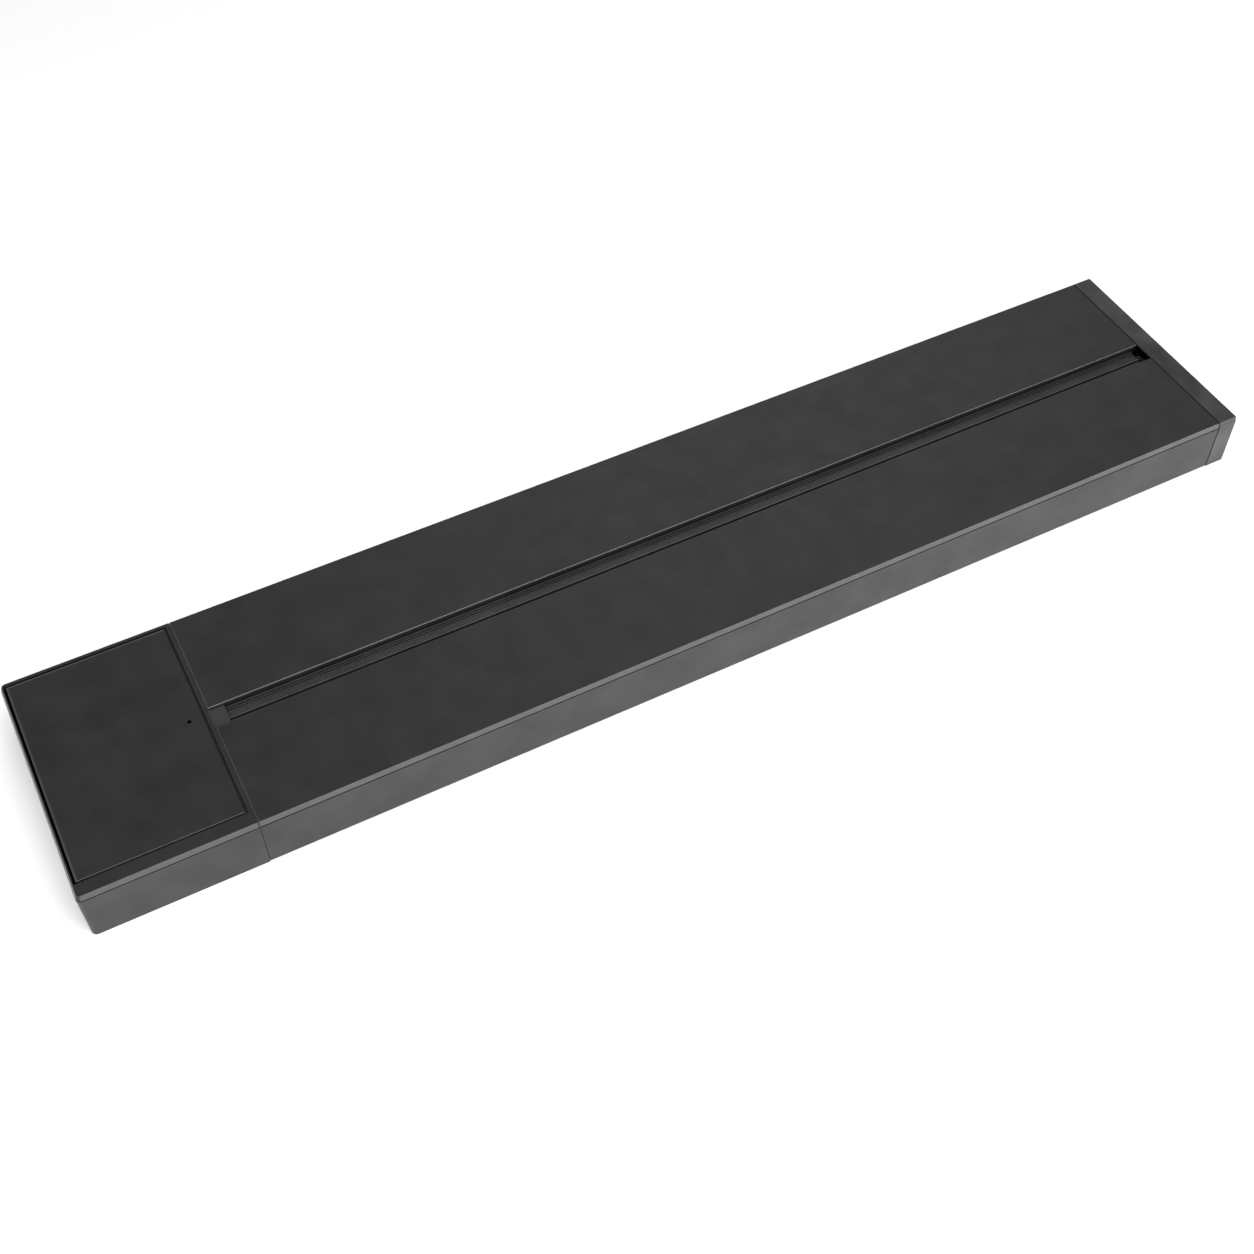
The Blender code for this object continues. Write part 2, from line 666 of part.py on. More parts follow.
def make_slot_grille():
    """Channel-shaped insert: ribbed top with long slits, a ridge and a front ledge."""
    half = HALF_SLOT - FIT_GAP
    fold = [(-half, ON_COVER), (-half, GRILLE_TOP), (half, GRILLE_TOP), (half, ON_COVER)]
    grille = add_folded_sheet("slot_grille", fold, GRILLE_START, GRILLE_END, GRILLE_SHEET,
                              BLACK_GRILLE)
    join_boxes(grille, [((GRILLE_START, RIDGE[0], GRILLE_TOP - GRILLE_SHEET / 2),
                         (GRILLE_END, RIDGE[1], GRILLE_TOP + RIDGE_HEIGHT))])
    rows = [REAR_SLIT_FIRST - REAR_SLIT_PITCH * number for number in range(REAR_SLITS)]
    rows.extend(FRONT_SLITS)
    pitch = (GRILLE_END - GRILLE_START) / GRILLE_BAYS
    slits = []
    for bay in range(GRILLE_BAYS):
        start = GRILLE_START + bay * pitch + BAY_EDGE
        end = start + pitch - 2 * BAY_EDGE
        for row in rows:
            slits.append(((start, row - SLIT_HALF, GRILLE_TOP - 2 * GRILLE_SHEET),
                          (end, row + SLIT_HALF, GRILLE_TOP + GRILLE_SHEET)))
    cut_boxes(grille, slits)


# ---------------------------------------------------------------- mist system
def screw_places():
    return [(x, y) for x in SCREW_X for y in (-SCREW_Y, SCREW_Y)]


def screw_holes(level):
    return [((x, y, level), SCREW_HOLE, OVERCUT, "Z") for x, y in screw_places()]


def make_mist_trough():
    """Water channel with outward flanges and blower ports, closed by two end plates."""
    flange_line = TROUGH_TOP - TROUGH_WALL
    outer = TROUGH_HALF + FLANGE
    fold = [(outer, flange_line), (TROUGH_HALF, flange_line), (TROUGH_HALF, FLOOR_TOP),
            (-TROUGH_HALF, FLOOR_TOP), (-TROUGH_HALF, flange_line), (-outer, flange_line)]
    trough = add_folded_sheet("mist_trough", fold, TROUGH_START, TROUGH_END, TROUGH_WALL,
                              DARK_PLASTIC)
    low, high = PORT_LEVELS
    cut_boxes(trough, [((x - PORT_HALF, TROUGH_HALF - OVERCUT, low),
                        (x + PORT_HALF, TROUGH_HALF + OVERCUT, high)) for x in BLOWER_X])
    cut_cylinders(trough, screw_holes(TROUGH_TOP), 12)
    left_face = TROUGH_START - FIT_GAP
    right_face = TROUGH_END + FIT_GAP
    left = add_box("trough_end_left", (left_face - TROUGH_WALL, -outer, FLOOR_TOP),
                   (left_face, outer, TROUGH_TOP), DARK_PLASTIC)
    add_box("trough_end_right", (right_face, -outer, FLOOR_TOP),
            (right_face + TROUGH_WALL, outer, TROUGH_TOP), DARK_PLASTIC)
    cut_cylinders(left, [((left_face, HOSE_Y, HOSE_Z), HOSE_PORT, OVERCUT, "X")], 12)


def make_trough_cover():
    """Flat cover with a chimney that guides the mist up to the grille."""
    cover = add_box("trough_cover", (TROUGH_START - COVER_OVERHANG, -COVER_HALF, COVER_BOTTOM),
                    (TROUGH_END + COVER_OVERHANG, COVER_HALF, COVER_TOP), DARK_PLASTIC)
    join_boxes(cover, [((CHIMNEY_START, -CHIMNEY_HALF, COVER_BOTTOM + MERGED),
                        (CHIMNEY_END, CHIMNEY_HALF, GRILLE_TOP - CHIMNEY_BELOW_GRILLE))])
    inner = CHIMNEY_HALF - CHIMNEY_WALL
    cut_boxes(cover, [((CHIMNEY_START + CHIMNEY_WALL, -inner, COVER_BOTTOM - OVERCUT),
                       (CHIMNEY_END - CHIMNEY_WALL, inner, GRILLE_TOP + OVERCUT))])
    cut_cylinders(cover, screw_holes(COVER_TOP), 12)


def make_trough_screws():
    head, shank, length = 0.0030, 0.0014, 0.0065
    profile = [(0.0, 0.6 * head), (0.7 * head, 0.6 * head), (head, head / 3), (head, 0.0),
               (shank, 0.0), (shank, -0.9 * length), (0.0, -length)]
    for number, (x, y) in enumerate(screw_places(), 1):
        add_turned(f"trough_screw_{number}", profile, (x, y, ON_COVER), BARE_STEEL, 12)


def make_led_strips():
    for name, side in (("front", -1), ("rear", 1)):
        near, far = sorted(side * edge for edge in STRIP_EDGES)
        add_box(f"led_strip_{name}", (RUN_START, near, ON_COVER),
                (RUN_END, far, ON_COVER + STRIP_THICKNESS), STRIP_WHITE)


def make_mist_modules():
    """Three atomiser bars on the trough floor, each with two ultrasonic discs."""
    bottom = FLOOR_TOP + TROUGH_WALL + FIT_GAP
    top = bottom + MODULE_HEIGHT
    half_x, half_y = MODULE_HALF
    disc = 0
    for number, x in enumerate(MODULE_X, 1):
        module = add_box(f"mist_module_{number}", (x - half_x, -half_y, bottom),
                         (x + half_x, half_y, top), BARE_STEEL, bevel=SHEET)
        places = [x - DISC_OFFSET, x + DISC_OFFSET]
        cut_cylinders(module, [((place, 0, top), WELL_RADIUS, 2 * WELL_DEPTH, "Z")
                               for place in places])
        for place in places:
            disc += 1
            add_cylinder(f"mist_disc_{disc}", (place, 0, top - WELL_DEPTH / 2), DISC_RADIUS,
                         0.6 * WELL_DEPTH, "Z", CERAMIC)


def make_blowers():
    """Three small centrifugal blowers that push air through ports into the trough."""
    near = BLOWER_Y - BLOWER_HALF
    scroll_middle = (SCROLL_FLOOR + SCROLL_ROOF) / 2
    for number, x in enumerate(BLOWER_X, 1):
        housing = add_box(f"blower_housing_{number}", (x - BLOWER_HALF, near, FLOOR_TOP),
                          (x + BLOWER_HALF, BLOWER_Y + BLOWER_HALF, BLOWER_TOP), DARK_PLASTIC,
                          bevel=0.002)
        join_boxes(housing, [((x - NOZZLE_HALF, TROUGH_HALF + FIT_GAP, NOZZLE_LEVELS[0]),
                              (x + NOZZLE_HALF, near + 2 * MERGED, NOZZLE_LEVELS[1]))])
        cut_cylinders(housing, [((x, BLOWER_Y, scroll_middle), SCROLL_RADIUS,
                                 SCROLL_ROOF - SCROLL_FLOOR, "Z")])
        cut_cylinders(housing, [((x, BLOWER_Y, BLOWER_TOP), BLOWER_EYE, OVERCUT, "Z")])
        cut_boxes(housing, [((x - DUCT_HALF, TROUGH_HALF - OVERCUT / 2, DUCT_LEVELS[0]),
                             (x + DUCT_HALF, near + OVERCUT, DUCT_LEVELS[1]))])
        make_rotor(f"blower_rotor_{number}", x, BLOWER_Y)


def make_rotor(name, x, y):
    """Impeller: a hub with straight vanes on a thin disc, on a vertical axis."""
    bm = bmesh.new()
    cylinder_into(bm, (0, 0, 0.0020), ROTOR_RADIUS, 0.0015, "Z", 20)
    rotor = mesh_object(name, bm, DARK_PLASTIC)
    rotor.location = (x, y, ROTOR_FLOOR)
    hub = add_cylinder(name + "_hub", (x, y, ROTOR_FLOOR + HUB_HEIGHT / 2), HUB_RADIUS,
                       HUB_HEIGHT, "Z", None, 16, CUTTERS)
    combine(rotor, hub, "UNION")
    radius, level = VANE_CENTRE
    half = (VANE_LENGTH / 2, VANE_HALF, VANE_HEIGHT / 2)
    for number in range(VANES):
        angle = 2 * math.pi * number / VANES
        blade = add_box(f"{name}_vane_{number}", [-h for h in half], half, None, 0.0, CUTTERS)
        blade.location = (x + radius * math.cos(angle), y + radius * math.sin(angle), level)
        blade.rotation_euler = (0, 0, angle)
        combine(rotor, blade, "UNION")


def make_power_electronics():
    """Mains power supply and mist driver board in the front bay."""
    add_box("power_supply", (*SUPPLY[0], FLOOR_TOP), (*SUPPLY[1], SUPPLY_TOP), BARE_STEEL,
            bevel=MERGED)
    low, high = DRIVER_LEVELS
    board = add_box("driver_board", (*DRIVER[0], low), (*DRIVER[1], high), BOARD_GREEN)
    foot_x = (DRIVER[0][0] + DRIVER_FOOT_INSET, DRIVER[1][0] - DRIVER_FOOT_INSET)
    foot_y = (DRIVER[0][1] + DRIVER_FOOT_INSET, DRIVER[1][1] - DRIVER_FOOT_INSET)
    join_boxes(board, [((x - DRIVER_FOOT, y - DRIVER_FOOT, FLOOR_TOP),
                        (x + DRIVER_FOOT, y + DRIVER_FOOT, low + MERGED / 2))
                       for x in foot_x for y in foot_y])


# ---------------------------------------------------------------- service module insides
def make_water_tank():
    """Blow-moulded tank, open only at its filler neck."""
    low = (*TANK[0], FLOOR_TOP)
    high = (*TANK[1], TANK_TOP)
    tank = add_box("water_tank", low, high, TANK_PLASTIC)
    add_bevel(tank, TANK_BEVEL)
    neck_bottom = TANK_TOP - TANK_WALL + MERGED / 2
    neck_length = TANK_TOP + NECK_HEIGHT - neck_bottom
    neck = add_cylinder("water_tank_neck", (*NECK, neck_bottom + neck_length / 2), NECK_RADIUS,
                        neck_length, "Z", None, 24, CUTTERS)
    combine(tank, neck, "UNION")
    inside_low = [value + TANK_WALL for value in low]
    inside_high = [value - TANK_WALL for value in high]
    cut_boxes(tank, [(inside_low, inside_high)])
    cut_cylinders(tank, [((*NECK, TANK_TOP), NECK_BORE, 2 * OVERCUT, "Z")])


def make_filler_cap():
    """Quarter-turn cap with a grip bar, and its ring seal."""
    rim = TANK_TOP + 0.0008
    edge = 0.001
    profile = [(0.0, CAP_HEIGHT), (CAP_RADIUS - edge, CAP_HEIGHT), (CAP_RADIUS, CAP_HEIGHT - edge),
               (CAP_RADIUS, 0.0), (CAP_BORE, 0.0), (CAP_BORE, CAP_ROOF), (0.0, CAP_ROOF)]
    cap = add_turned("filler_cap", profile, (*NECK, rim), DARK_PLASTIC)
    join_boxes(cap, [((NECK[0] - GRIP_HALF[0], NECK[1] - GRIP_HALF[1], rim + CAP_HEIGHT - MERGED),
                      (NECK[0] + GRIP_HALF[0], NECK[1] + GRIP_HALF[1], rim + GRIP_HEIGHT))])
    inner, outer = SEAL_RADII
    seal = [(outer, SEAL_HEIGHT), (outer, 0.0), (inner, 0.0), (inner, SEAL_HEIGHT),
            (outer, SEAL_HEIGHT)]
    add_turned("cap_seal", seal, (*NECK, TANK_TOP + NECK_HEIGHT + FIT_GAP), RUBBER)


def make_level_float():
    """Ring float that rides up a stem as the tank fills."""
    low = FLOOR_TOP + TANK_WALL + FIT_GAP
    high = TANK_TOP - STEM_DROP
    add_cylinder("float_stem", (*FLOAT, (low + high) / 2), STEM_RADIUS, high - low, "Z",
                 DARK_PLASTIC, 12)
    inner, outer = FLOAT_RADII
    ring = [(outer, FLOAT_HEIGHT), (outer, 0.0), (inner, 0.0), (inner, FLOAT_HEIGHT),
            (outer, FLOAT_HEIGHT)]
    add_turned("tank_float", ring, (*FLOAT, FLOAT_REST), STRIP_WHITE, 20)


def make_water_feed():
    """Feed pump, the short hose from the tank and the hose to the trough."""
    pump_x, pump_y, pump_z = PUMP
    pump = add_cylinder("feed_pump", PUMP, PUMP_RADIUS, PUMP_LENGTH, "X", DARK_PLASTIC)
    foot_x, foot_y = PUMP_FOOT_HALF
    join_boxes(pump, [((pump_x - foot_x, pump_y - foot_y, FLOOR_TOP),
                       (pump_x + foot_x, pump_y + foot_y, PUMP_FOOT_TOP))])
    start = TANK[1][1] + FIT_GAP
    end = pump_y - PUMP_RADIUS - FIT_GAP
    add_cylinder("suction_hose", (SUCTION_X, (start + end) / 2, pump_z), HOSE_RADIUS, end - start,
                 "Y", HOSE_CLEAR, 12)
    outlet = pump_x + PUMP_LENGTH / 2 + 2 * FIT_GAP - 0.0002
    port = TROUGH_START - TROUGH_WALL - 2 * FIT_GAP
    route = [(outlet, pump_y, pump_z), (outlet + 0.0086, pump_y, pump_z), (-0.489, 0.052, HOSE_Z),
             (SEAM_X - 0.019, HOSE_Y, HOSE_Z), (SEAM_X - 0.002, HOSE_Y, HOSE_Z),
             (port, HOSE_Y, HOSE_Z)]
    add_tube("feed_hose", route, HOSE_RADIUS, HOSE_CLEAR)


def add_tube(name, route, radius, material):
    """A hose or cable along a smooth curve through its route points."""
    curve = bpy.data.curves.new(name, "CURVE")
    curve.dimensions = "3D"
    curve.bevel_depth = radius
    curve.bevel_resolution = 2
    curve.use_fill_caps = True
    curve.resolution_u = 5
    spline = curve.splines.new("BEZIER")
    spline.bezier_points.add(len(route) - 1)
    for point, place in zip(spline.bezier_points, route):
        point.co = place
        point.handle_left_type = "AUTO"
        point.handle_right_type = "AUTO"
    return link(name, curve, material)


def make_wiring_harness():
    """Lead bundle from the control board to the power supply."""
    supply_face = SUPPLY[0][0] - 2 * FIT_GAP + 0.0001
    route = [(PANEL_X, -0.0080, 0.0300), (PANEL_X, -0.030, 0.0260),
             (PANEL_X + 0.001, -0.066, HARNESS_Z), (-0.456, HARNESS_Y + 0.004, HARNESS_Z),
             (SEAM_X, HARNESS_Y, HARNESS_Z), (supply_face, HARNESS_Y, HARNESS_Z)]
    add_tube("wiring_harness", route, HARNESS_RADIUS, RUBBER)


def make_control_box():
    """Bracket with the button holes, the board hung below it and the infrared eye."""
    near, far = PANEL_Y
    fold = [(near, FLOOR_TOP), (near, PANEL_TOP), (far, PANEL_TOP), (far, FLOOR_TOP)]
    panel = add_folded_sheet("control_panel", fold, PANEL_X - PANEL_HALF, PANEL_X + PANEL_HALF,
                             PANEL_SHEET, BLACK_STEEL)
    cut_cylinders(panel, [((PANEL_X, y, PANEL_TOP), BUTTON_HOLE, OVERCUT, "Z")
                          for y in BUTTON_Y.values()]
                  + [((*LID_HOLE, PANEL_TOP), EYE_HOLE, OVERCUT, "Z")], 20)
    cut_boxes(panel, [((PANEL_X - HARNESS_SLOT_HALF, near - OVERCUT, HARNESS_SLOT_LEVELS[0]),
                       (PANEL_X + HARNESS_SLOT_HALF, near + OVERCUT, HARNESS_SLOT_LEVELS[1]))])
    low, high = (PANEL_TOP + level for level in BOARD_LEVELS)
    board = add_box("control_board", (PANEL_X - BOARD_HALF, BOARD_Y[0], low),
                    (PANEL_X + BOARD_HALF, BOARD_Y[1], high), BOARD_GREEN)
    join_boxes(board, [((PANEL_X + POST_X[0], y - POST_HALF, high - MERGED / 2),
                        (PANEL_X + POST_X[1], y + POST_HALF, PANEL_TOP - PANEL_SHEET - FIT_GAP))
                       for y in POST_Y])
    top, collar, bottom = BUTTON_LEVELS
    profile = [(0.0, 0.0), (BUTTON_RADIUS, 0.0), (BUTTON_RADIUS, collar - top),
               (BUTTON_COLLAR, collar - top), (BUTTON_COLLAR, bottom - top), (0.0, bottom - top)]
    for name, y in BUTTON_Y.items():
        add_turned(f"button_{name}", profile, (PANEL_X, y, PANEL_TOP + top), DARK_PLASTIC, 20)
    dome = [(EYE_RADIUS * math.sin(angle), EYE_HEIGHT - EYE_RADIUS * (1 - math.cos(angle)))
            for angle in (0.0, 0.6, 1.15, math.pi / 2)]
    add_turned("infrared_receiver", dome + [(EYE_RADIUS, 0.0), (0.0, 0.0)],
               (*LID_HOLE, high + FIT_GAP), DARK_PLASTIC, 16)


def make_rear_fitting(name, middle_x, half, flange, back):
    """Fitting body that fills its cut-out in the rear wall, with a flange behind the wall."""
    face = HALF_WIDTH - FIT_GAP
    behind = INNER_WALL - FIT_GAP
    body = add_box(name, (middle_x - half[0], back, INLET_Z - half[1]),
                   (middle_x + half[0], face, INLET_Z + half[1]), DARK_PLASTIC)
    join_boxes(body, [((middle_x - half[0] - flange, behind - FLANGE_SHEET,
                        INLET_Z - half[1] - flange),
                       (middle_x + half[0] + flange, behind, INLET_Z + half[1] + flange))])
    return body


def make_mains_entry():
    """Mains inlet socket and rocker switch, both fitted from inside the rear wall."""
    inlet = make_rear_fitting("mains_inlet", INLET_X, INLET_HALF, INLET_FLANGE, INLET_BACK)
    cut_boxes(inlet, [((INLET_X - SOCKET_HALF[0], SOCKET_FLOOR, INLET_Z - SOCKET_HALF[1]),
                       (INLET_X + SOCKET_HALF[0], HALF_WIDTH + OVERCUT, INLET_Z + SOCKET_HALF[1]))])
    wide, thick = CONTACT_HALF
    join_boxes(inlet, [((INLET_X + dx - wide, CONTACT_REACH[0], INLET_Z + dz - thick),
                        (INLET_X + dx + wide, CONTACT_REACH[1], INLET_Z + dz + thick))
                       for dx, dz in CONTACT_PLACES])
    frame = make_rear_fitting("switch_frame", SWITCH_X, SWITCH_HALF, SWITCH_FLANGE, SWITCH_BACK)
    wide, tall = SWITCH_OPENING
    cut_boxes(frame, [((SWITCH_X - wide, SWITCH_FLOOR, INLET_Z - tall),
                       (SWITCH_X + wide, HALF_WIDTH + OVERCUT, INLET_Z + tall))])
    wide, tall = ROCKER_HALF
    rocker = add_box("power_rocker", (-wide, ROCKER_REACH[0], -tall),
                     (wide, ROCKER_REACH[1], tall), DARK_PLASTIC)
    rocker.data.transform(Matrix.Translation(rocker.location))
    rocker.location = (SWITCH_X, ROCKER_Y, INLET_Z)
    rocker.rotation_euler = (0, 0, math.radians(ROCKER_TILT))


# ---------------------------------------------------------------- build
make_service_housing()
make_main_housing()
make_end_cap()
make_service_deck()
make_lid_seat_frame()
make_lid_gasket()
make_lid()
make_lid_pins()
make_deck_plates()
make_deck_rails()
make_slot_grille()
make_mist_trough()
make_trough_cover()
make_trough_screws()
make_led_strips()
make_mist_modules()
make_blowers()
make_power_electronics()
make_water_tank()
make_filler_cap()
make_level_float()
make_water_feed()
make_control_box()
make_wiring_harness()
make_mains_entry()
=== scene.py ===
"""Looks of the linear water-vapour fireplace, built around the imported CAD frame."""
import json
import math
import random

import bmesh
import bpy
from mathutils import Matrix, Vector


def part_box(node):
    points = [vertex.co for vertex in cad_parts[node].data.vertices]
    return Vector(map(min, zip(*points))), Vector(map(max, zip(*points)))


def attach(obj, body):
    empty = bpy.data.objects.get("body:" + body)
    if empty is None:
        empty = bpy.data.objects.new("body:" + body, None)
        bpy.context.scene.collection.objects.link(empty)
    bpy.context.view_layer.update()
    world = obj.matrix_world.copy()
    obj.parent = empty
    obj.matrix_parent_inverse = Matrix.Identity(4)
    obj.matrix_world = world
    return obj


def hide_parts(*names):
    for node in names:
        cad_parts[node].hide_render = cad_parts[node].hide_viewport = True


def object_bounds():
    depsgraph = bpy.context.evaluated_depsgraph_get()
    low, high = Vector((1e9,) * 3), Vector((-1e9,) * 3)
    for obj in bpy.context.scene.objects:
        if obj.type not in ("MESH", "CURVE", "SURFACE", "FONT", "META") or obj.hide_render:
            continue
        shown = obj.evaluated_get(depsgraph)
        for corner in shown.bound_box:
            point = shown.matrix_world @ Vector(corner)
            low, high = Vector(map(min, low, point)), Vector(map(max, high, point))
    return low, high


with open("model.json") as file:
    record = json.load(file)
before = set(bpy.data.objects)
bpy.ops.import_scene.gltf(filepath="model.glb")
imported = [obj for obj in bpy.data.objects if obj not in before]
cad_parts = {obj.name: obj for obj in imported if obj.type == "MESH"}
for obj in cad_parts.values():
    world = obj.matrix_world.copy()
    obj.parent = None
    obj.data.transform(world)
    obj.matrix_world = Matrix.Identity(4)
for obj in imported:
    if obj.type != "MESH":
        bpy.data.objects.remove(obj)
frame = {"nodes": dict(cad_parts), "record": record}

CAD_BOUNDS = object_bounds()
MM = 0.001
NEAR = 0.05 * MM     # slack when a face or corner is picked out by its place


# ---------------------------------------------------------------- camera, floor and light
FLOOR_HALF_SIDE = 8.0
FLOOR_GAP = 0.3 * MM     # keeps the floor from sharing a plane with the underside


def make_camera():
    """From the front left, about 50 degrees down, on a lens of about 50 mm."""
    heading = math.radians(27.068)
    pitch = math.radians(51.214)
    roll = math.radians(-0.435)
    forward = Vector((math.sin(heading) * math.cos(pitch), math.cos(heading) * math.cos(pitch),
                      -math.sin(pitch)))
    level_right = Vector((math.cos(heading), -math.sin(heading), 0))
    level_up = level_right.cross(forward)
    right = level_right * math.cos(roll) + level_up * math.sin(roll)
    up = right.cross(forward)
    data = bpy.data.cameras.new("camera")
    data.lens = 48.6
    data.sensor_width = 36.0
    data.clip_start = 0.01
    camera = bpy.data.objects.new("camera", data)
    camera.matrix_world = Matrix((right, up, -forward)).transposed().to_4x4()
    camera.location = (-0.5137, -0.9412, 1.2661)
    bpy.context.scene.collection.objects.link(camera)
    bpy.context.scene.camera = camera


def area_light(name, location, target, size, power):
    data = bpy.data.lights.new(name, "AREA")
    data.shape = "RECTANGLE"
    data.size, data.size_y = size
    data.energy = power
    lamp = bpy.data.objects.new(name, data)
    lamp.location = location
    aim = Vector(target) - Vector(location)
    lamp.rotation_euler = aim.to_track_quat("-Z", "Y").to_euler()
    bpy.context.scene.collection.objects.link(lamp)


def make_studio():
    """A white floor under a large softbox, a low strip in front and a weak panel behind."""
    floor_mesh = bpy.data.meshes.new("studio_floor")
    bm = bmesh.new()
    bmesh.ops.create_grid(bm, x_segments=1, y_segments=1, size=FLOOR_HALF_SIDE)
    bm.to_mesh(floor_mesh)
    bm.free()
    floor = bpy.data.objects.new("studio_floor", floor_mesh)
    floor.location.z = -FLOOR_GAP
    bpy.context.scene.collection.objects.link(floor)
    floor_mesh.materials.append(floor_paint())
    area_light("overhead_softbox", (-0.2, -1.3, 3.0), (0, 0, 0), (3.6, 2.4), 115)
    area_light("low_front_strip", (0.55, -2.6, 0.30), (0, 0, 0.05), (4.5, 0.55), 142)
    area_light("high_back_panel", (1.5, 2.3, 2.7), (0.2, 0, 0), (2.0, 1.6), 10)
    world = bpy.data.worlds.new("studio_world")
    world.use_nodes = True
    background = world.node_tree.nodes["Background"]
    background.inputs["Color"].default_value = (1, 1, 1, 1)
    background.inputs["Strength"].default_value = 0.42
    bpy.context.scene.world = world
    bpy.context.scene.view_settings.view_transform = "Standard"
    bpy.context.scene.view_settings.look = "None"


# ---------------------------------------------------------------- materials
class Paint:
    """A Principled material with helpers for procedural detail in object coordinates."""

    def __init__(self, name, colour, roughness, metallic=0.0):
        self.material = bpy.data.materials.new(name)
        self.material.use_nodes = True
        tree = self.material.node_tree
        self.nodes = tree.nodes
        self.links = tree.links
        self.shader = tree.nodes["Principled BSDF"]
        self.shader.inputs["Metallic"].default_value = metallic
        self.shader.inputs["Roughness"].default_value = roughness
        self.shader.inputs["Base Color"].default_value = (*colour, 1)
        self.place = self.nodes.new("ShaderNodeTexCoord").outputs["Object"]
        self.normal = None

    def noise(self, scale, detail=3.0, stretch=(1, 1, 1)):
        mapping = self.nodes.new("ShaderNodeMapping")
        mapping.inputs["Scale"].default_value = stretch
        self.links.new(self.place, mapping.inputs["Vector"])
        texture = self.nodes.new("ShaderNodeTexNoise")
        texture.inputs["Scale"].default_value = scale
        texture.inputs["Detail"].default_value = detail
        self.links.new(mapping.outputs["Vector"], texture.inputs["Vector"])
        return texture.outputs["Fac"]

    def spread(self, value, low, high, start=0.3, end=0.7):
        """Map a 0 to 1 value onto low to high."""
        node = self.nodes.new("ShaderNodeMapRange")
        node.inputs["From Min"].default_value = start
        node.inputs["From Max"].default_value = end
        node.inputs["To Min"].default_value = low
        node.inputs["To Max"].default_value = high
        self.links.new(value, node.inputs["Value"])
        return node.outputs["Result"]

    def colour(self, value, dark, light):
        ramp = self.nodes.new("ShaderNodeMix")
        ramp.data_type = "RGBA"
        ramp.inputs["A"].default_value = (*dark, 1)
        ramp.inputs["B"].default_value = (*light, 1)
        self.links.new(value, ramp.inputs["Factor"])
        self.links.new(ramp.outputs["Result"], self.shader.inputs["Base Color"])

    def roughness(self, value):
        self.links.new(value, self.shader.inputs["Roughness"])

    def bump(self, value, height, strength=1.0):
        node = self.nodes.new("ShaderNodeBump")
        node.inputs["Distance"].default_value = height
        node.inputs["Strength"].default_value = strength
        self.links.new(value, node.inputs["Height"])
        if self.normal is not None:
            self.links.new(self.normal, node.inputs["Normal"])
        self.normal = node.outputs["Normal"]
        self.links.new(self.normal, self.shader.inputs["Normal"])


def floor_paint():
    paint = Paint("studio_white", (0.97, 0.97, 0.97), 0.8)
    paint.shader.inputs["Specular IOR Level"].default_value = 0.1
    paint.colour(paint.spread(paint.noise(3.0), 0, 1), (0.965, 0.965, 0.965), (0.975, 0.975, 0.975))
    return paint.material


def powder_coat(name, dark, light, rough, gloss=0.5):
    """Satin black powder coat: faint cloudy tone, fine orange peel and a dusting of grain."""
    paint = Paint(name, light, rough)
    paint.shader.inputs["Specular IOR Level"].default_value = gloss
    cloud = paint.noise(30.0, 6.0)
    paint.colour(paint.spread(cloud, 0, 1, 0.34, 0.66), dark, light)
    paint.roughness(paint.spread(paint.noise(55.0, 3.0), rough - 0.04, rough + 0.05))
    paint.bump(paint.noise(900.0, 2.0), 0.02 * MM, 0.5)
    paint.bump(paint.noise(3500.0, 1.0), 0.01 * MM, 0.4)
    return paint.material


def moulded_plastic(name, dark, light, rough):
    """Plastic or ceramic with a faint mottle and a fine texture."""
    paint = Paint(name, light, rough)
    paint.colour(paint.spread(paint.noise(30.0), 0, 1), dark, light)
    paint.roughness(paint.spread(paint.noise(120.0), rough - 0.05, rough + 0.06))
    paint.bump(paint.noise(2600.0, 2.0), 0.03 * MM, 0.6)
    return paint.material


def brushed_metal(name, dark, light, rough):
    """Bare metal with its grain along X."""
    paint = Paint(name, light, rough, 1.0)
    grain = paint.noise(1400.0, 2.0, (0.03, 1, 1))
    paint.colour(paint.spread(grain, 0, 1), dark, light)
    paint.roughness(paint.spread(paint.noise(800.0, 2.0, (0.04, 1, 1)), rough - 0.07, rough + 0.08))
    paint.bump(grain, 0.01 * MM, 0.5)
    return paint.material


def rubber_like(name, dark, light):
    """A matt dark surface."""
    paint = Paint(name, light, 0.8)
    paint.colour(paint.spread(paint.noise(60.0), 0, 1), dark, light)
    paint.roughness(paint.spread(paint.noise(300.0), 0.72, 0.88))
    paint.bump(paint.noise(1800.0, 2.0), 0.04 * MM, 0.6)
    return paint.material


def see_through(name, dark, light, rough, pass_light):
    """Milky or clear plastic that lets part of the light through."""
    paint = Paint(name, light, rough)
    paint.shader.inputs["Transmission Weight"].default_value = pass_light
    paint.shader.inputs["IOR"].default_value = 1.45
    paint.colour(paint.spread(paint.noise(25.0), 0, 1), dark, light)
    paint.roughness(paint.spread(paint.noise(90.0), rough - 0.05, rough + 0.06))
    paint.bump(paint.noise(400.0, 2.0), 0.05 * MM, 0.4)
    return paint.material


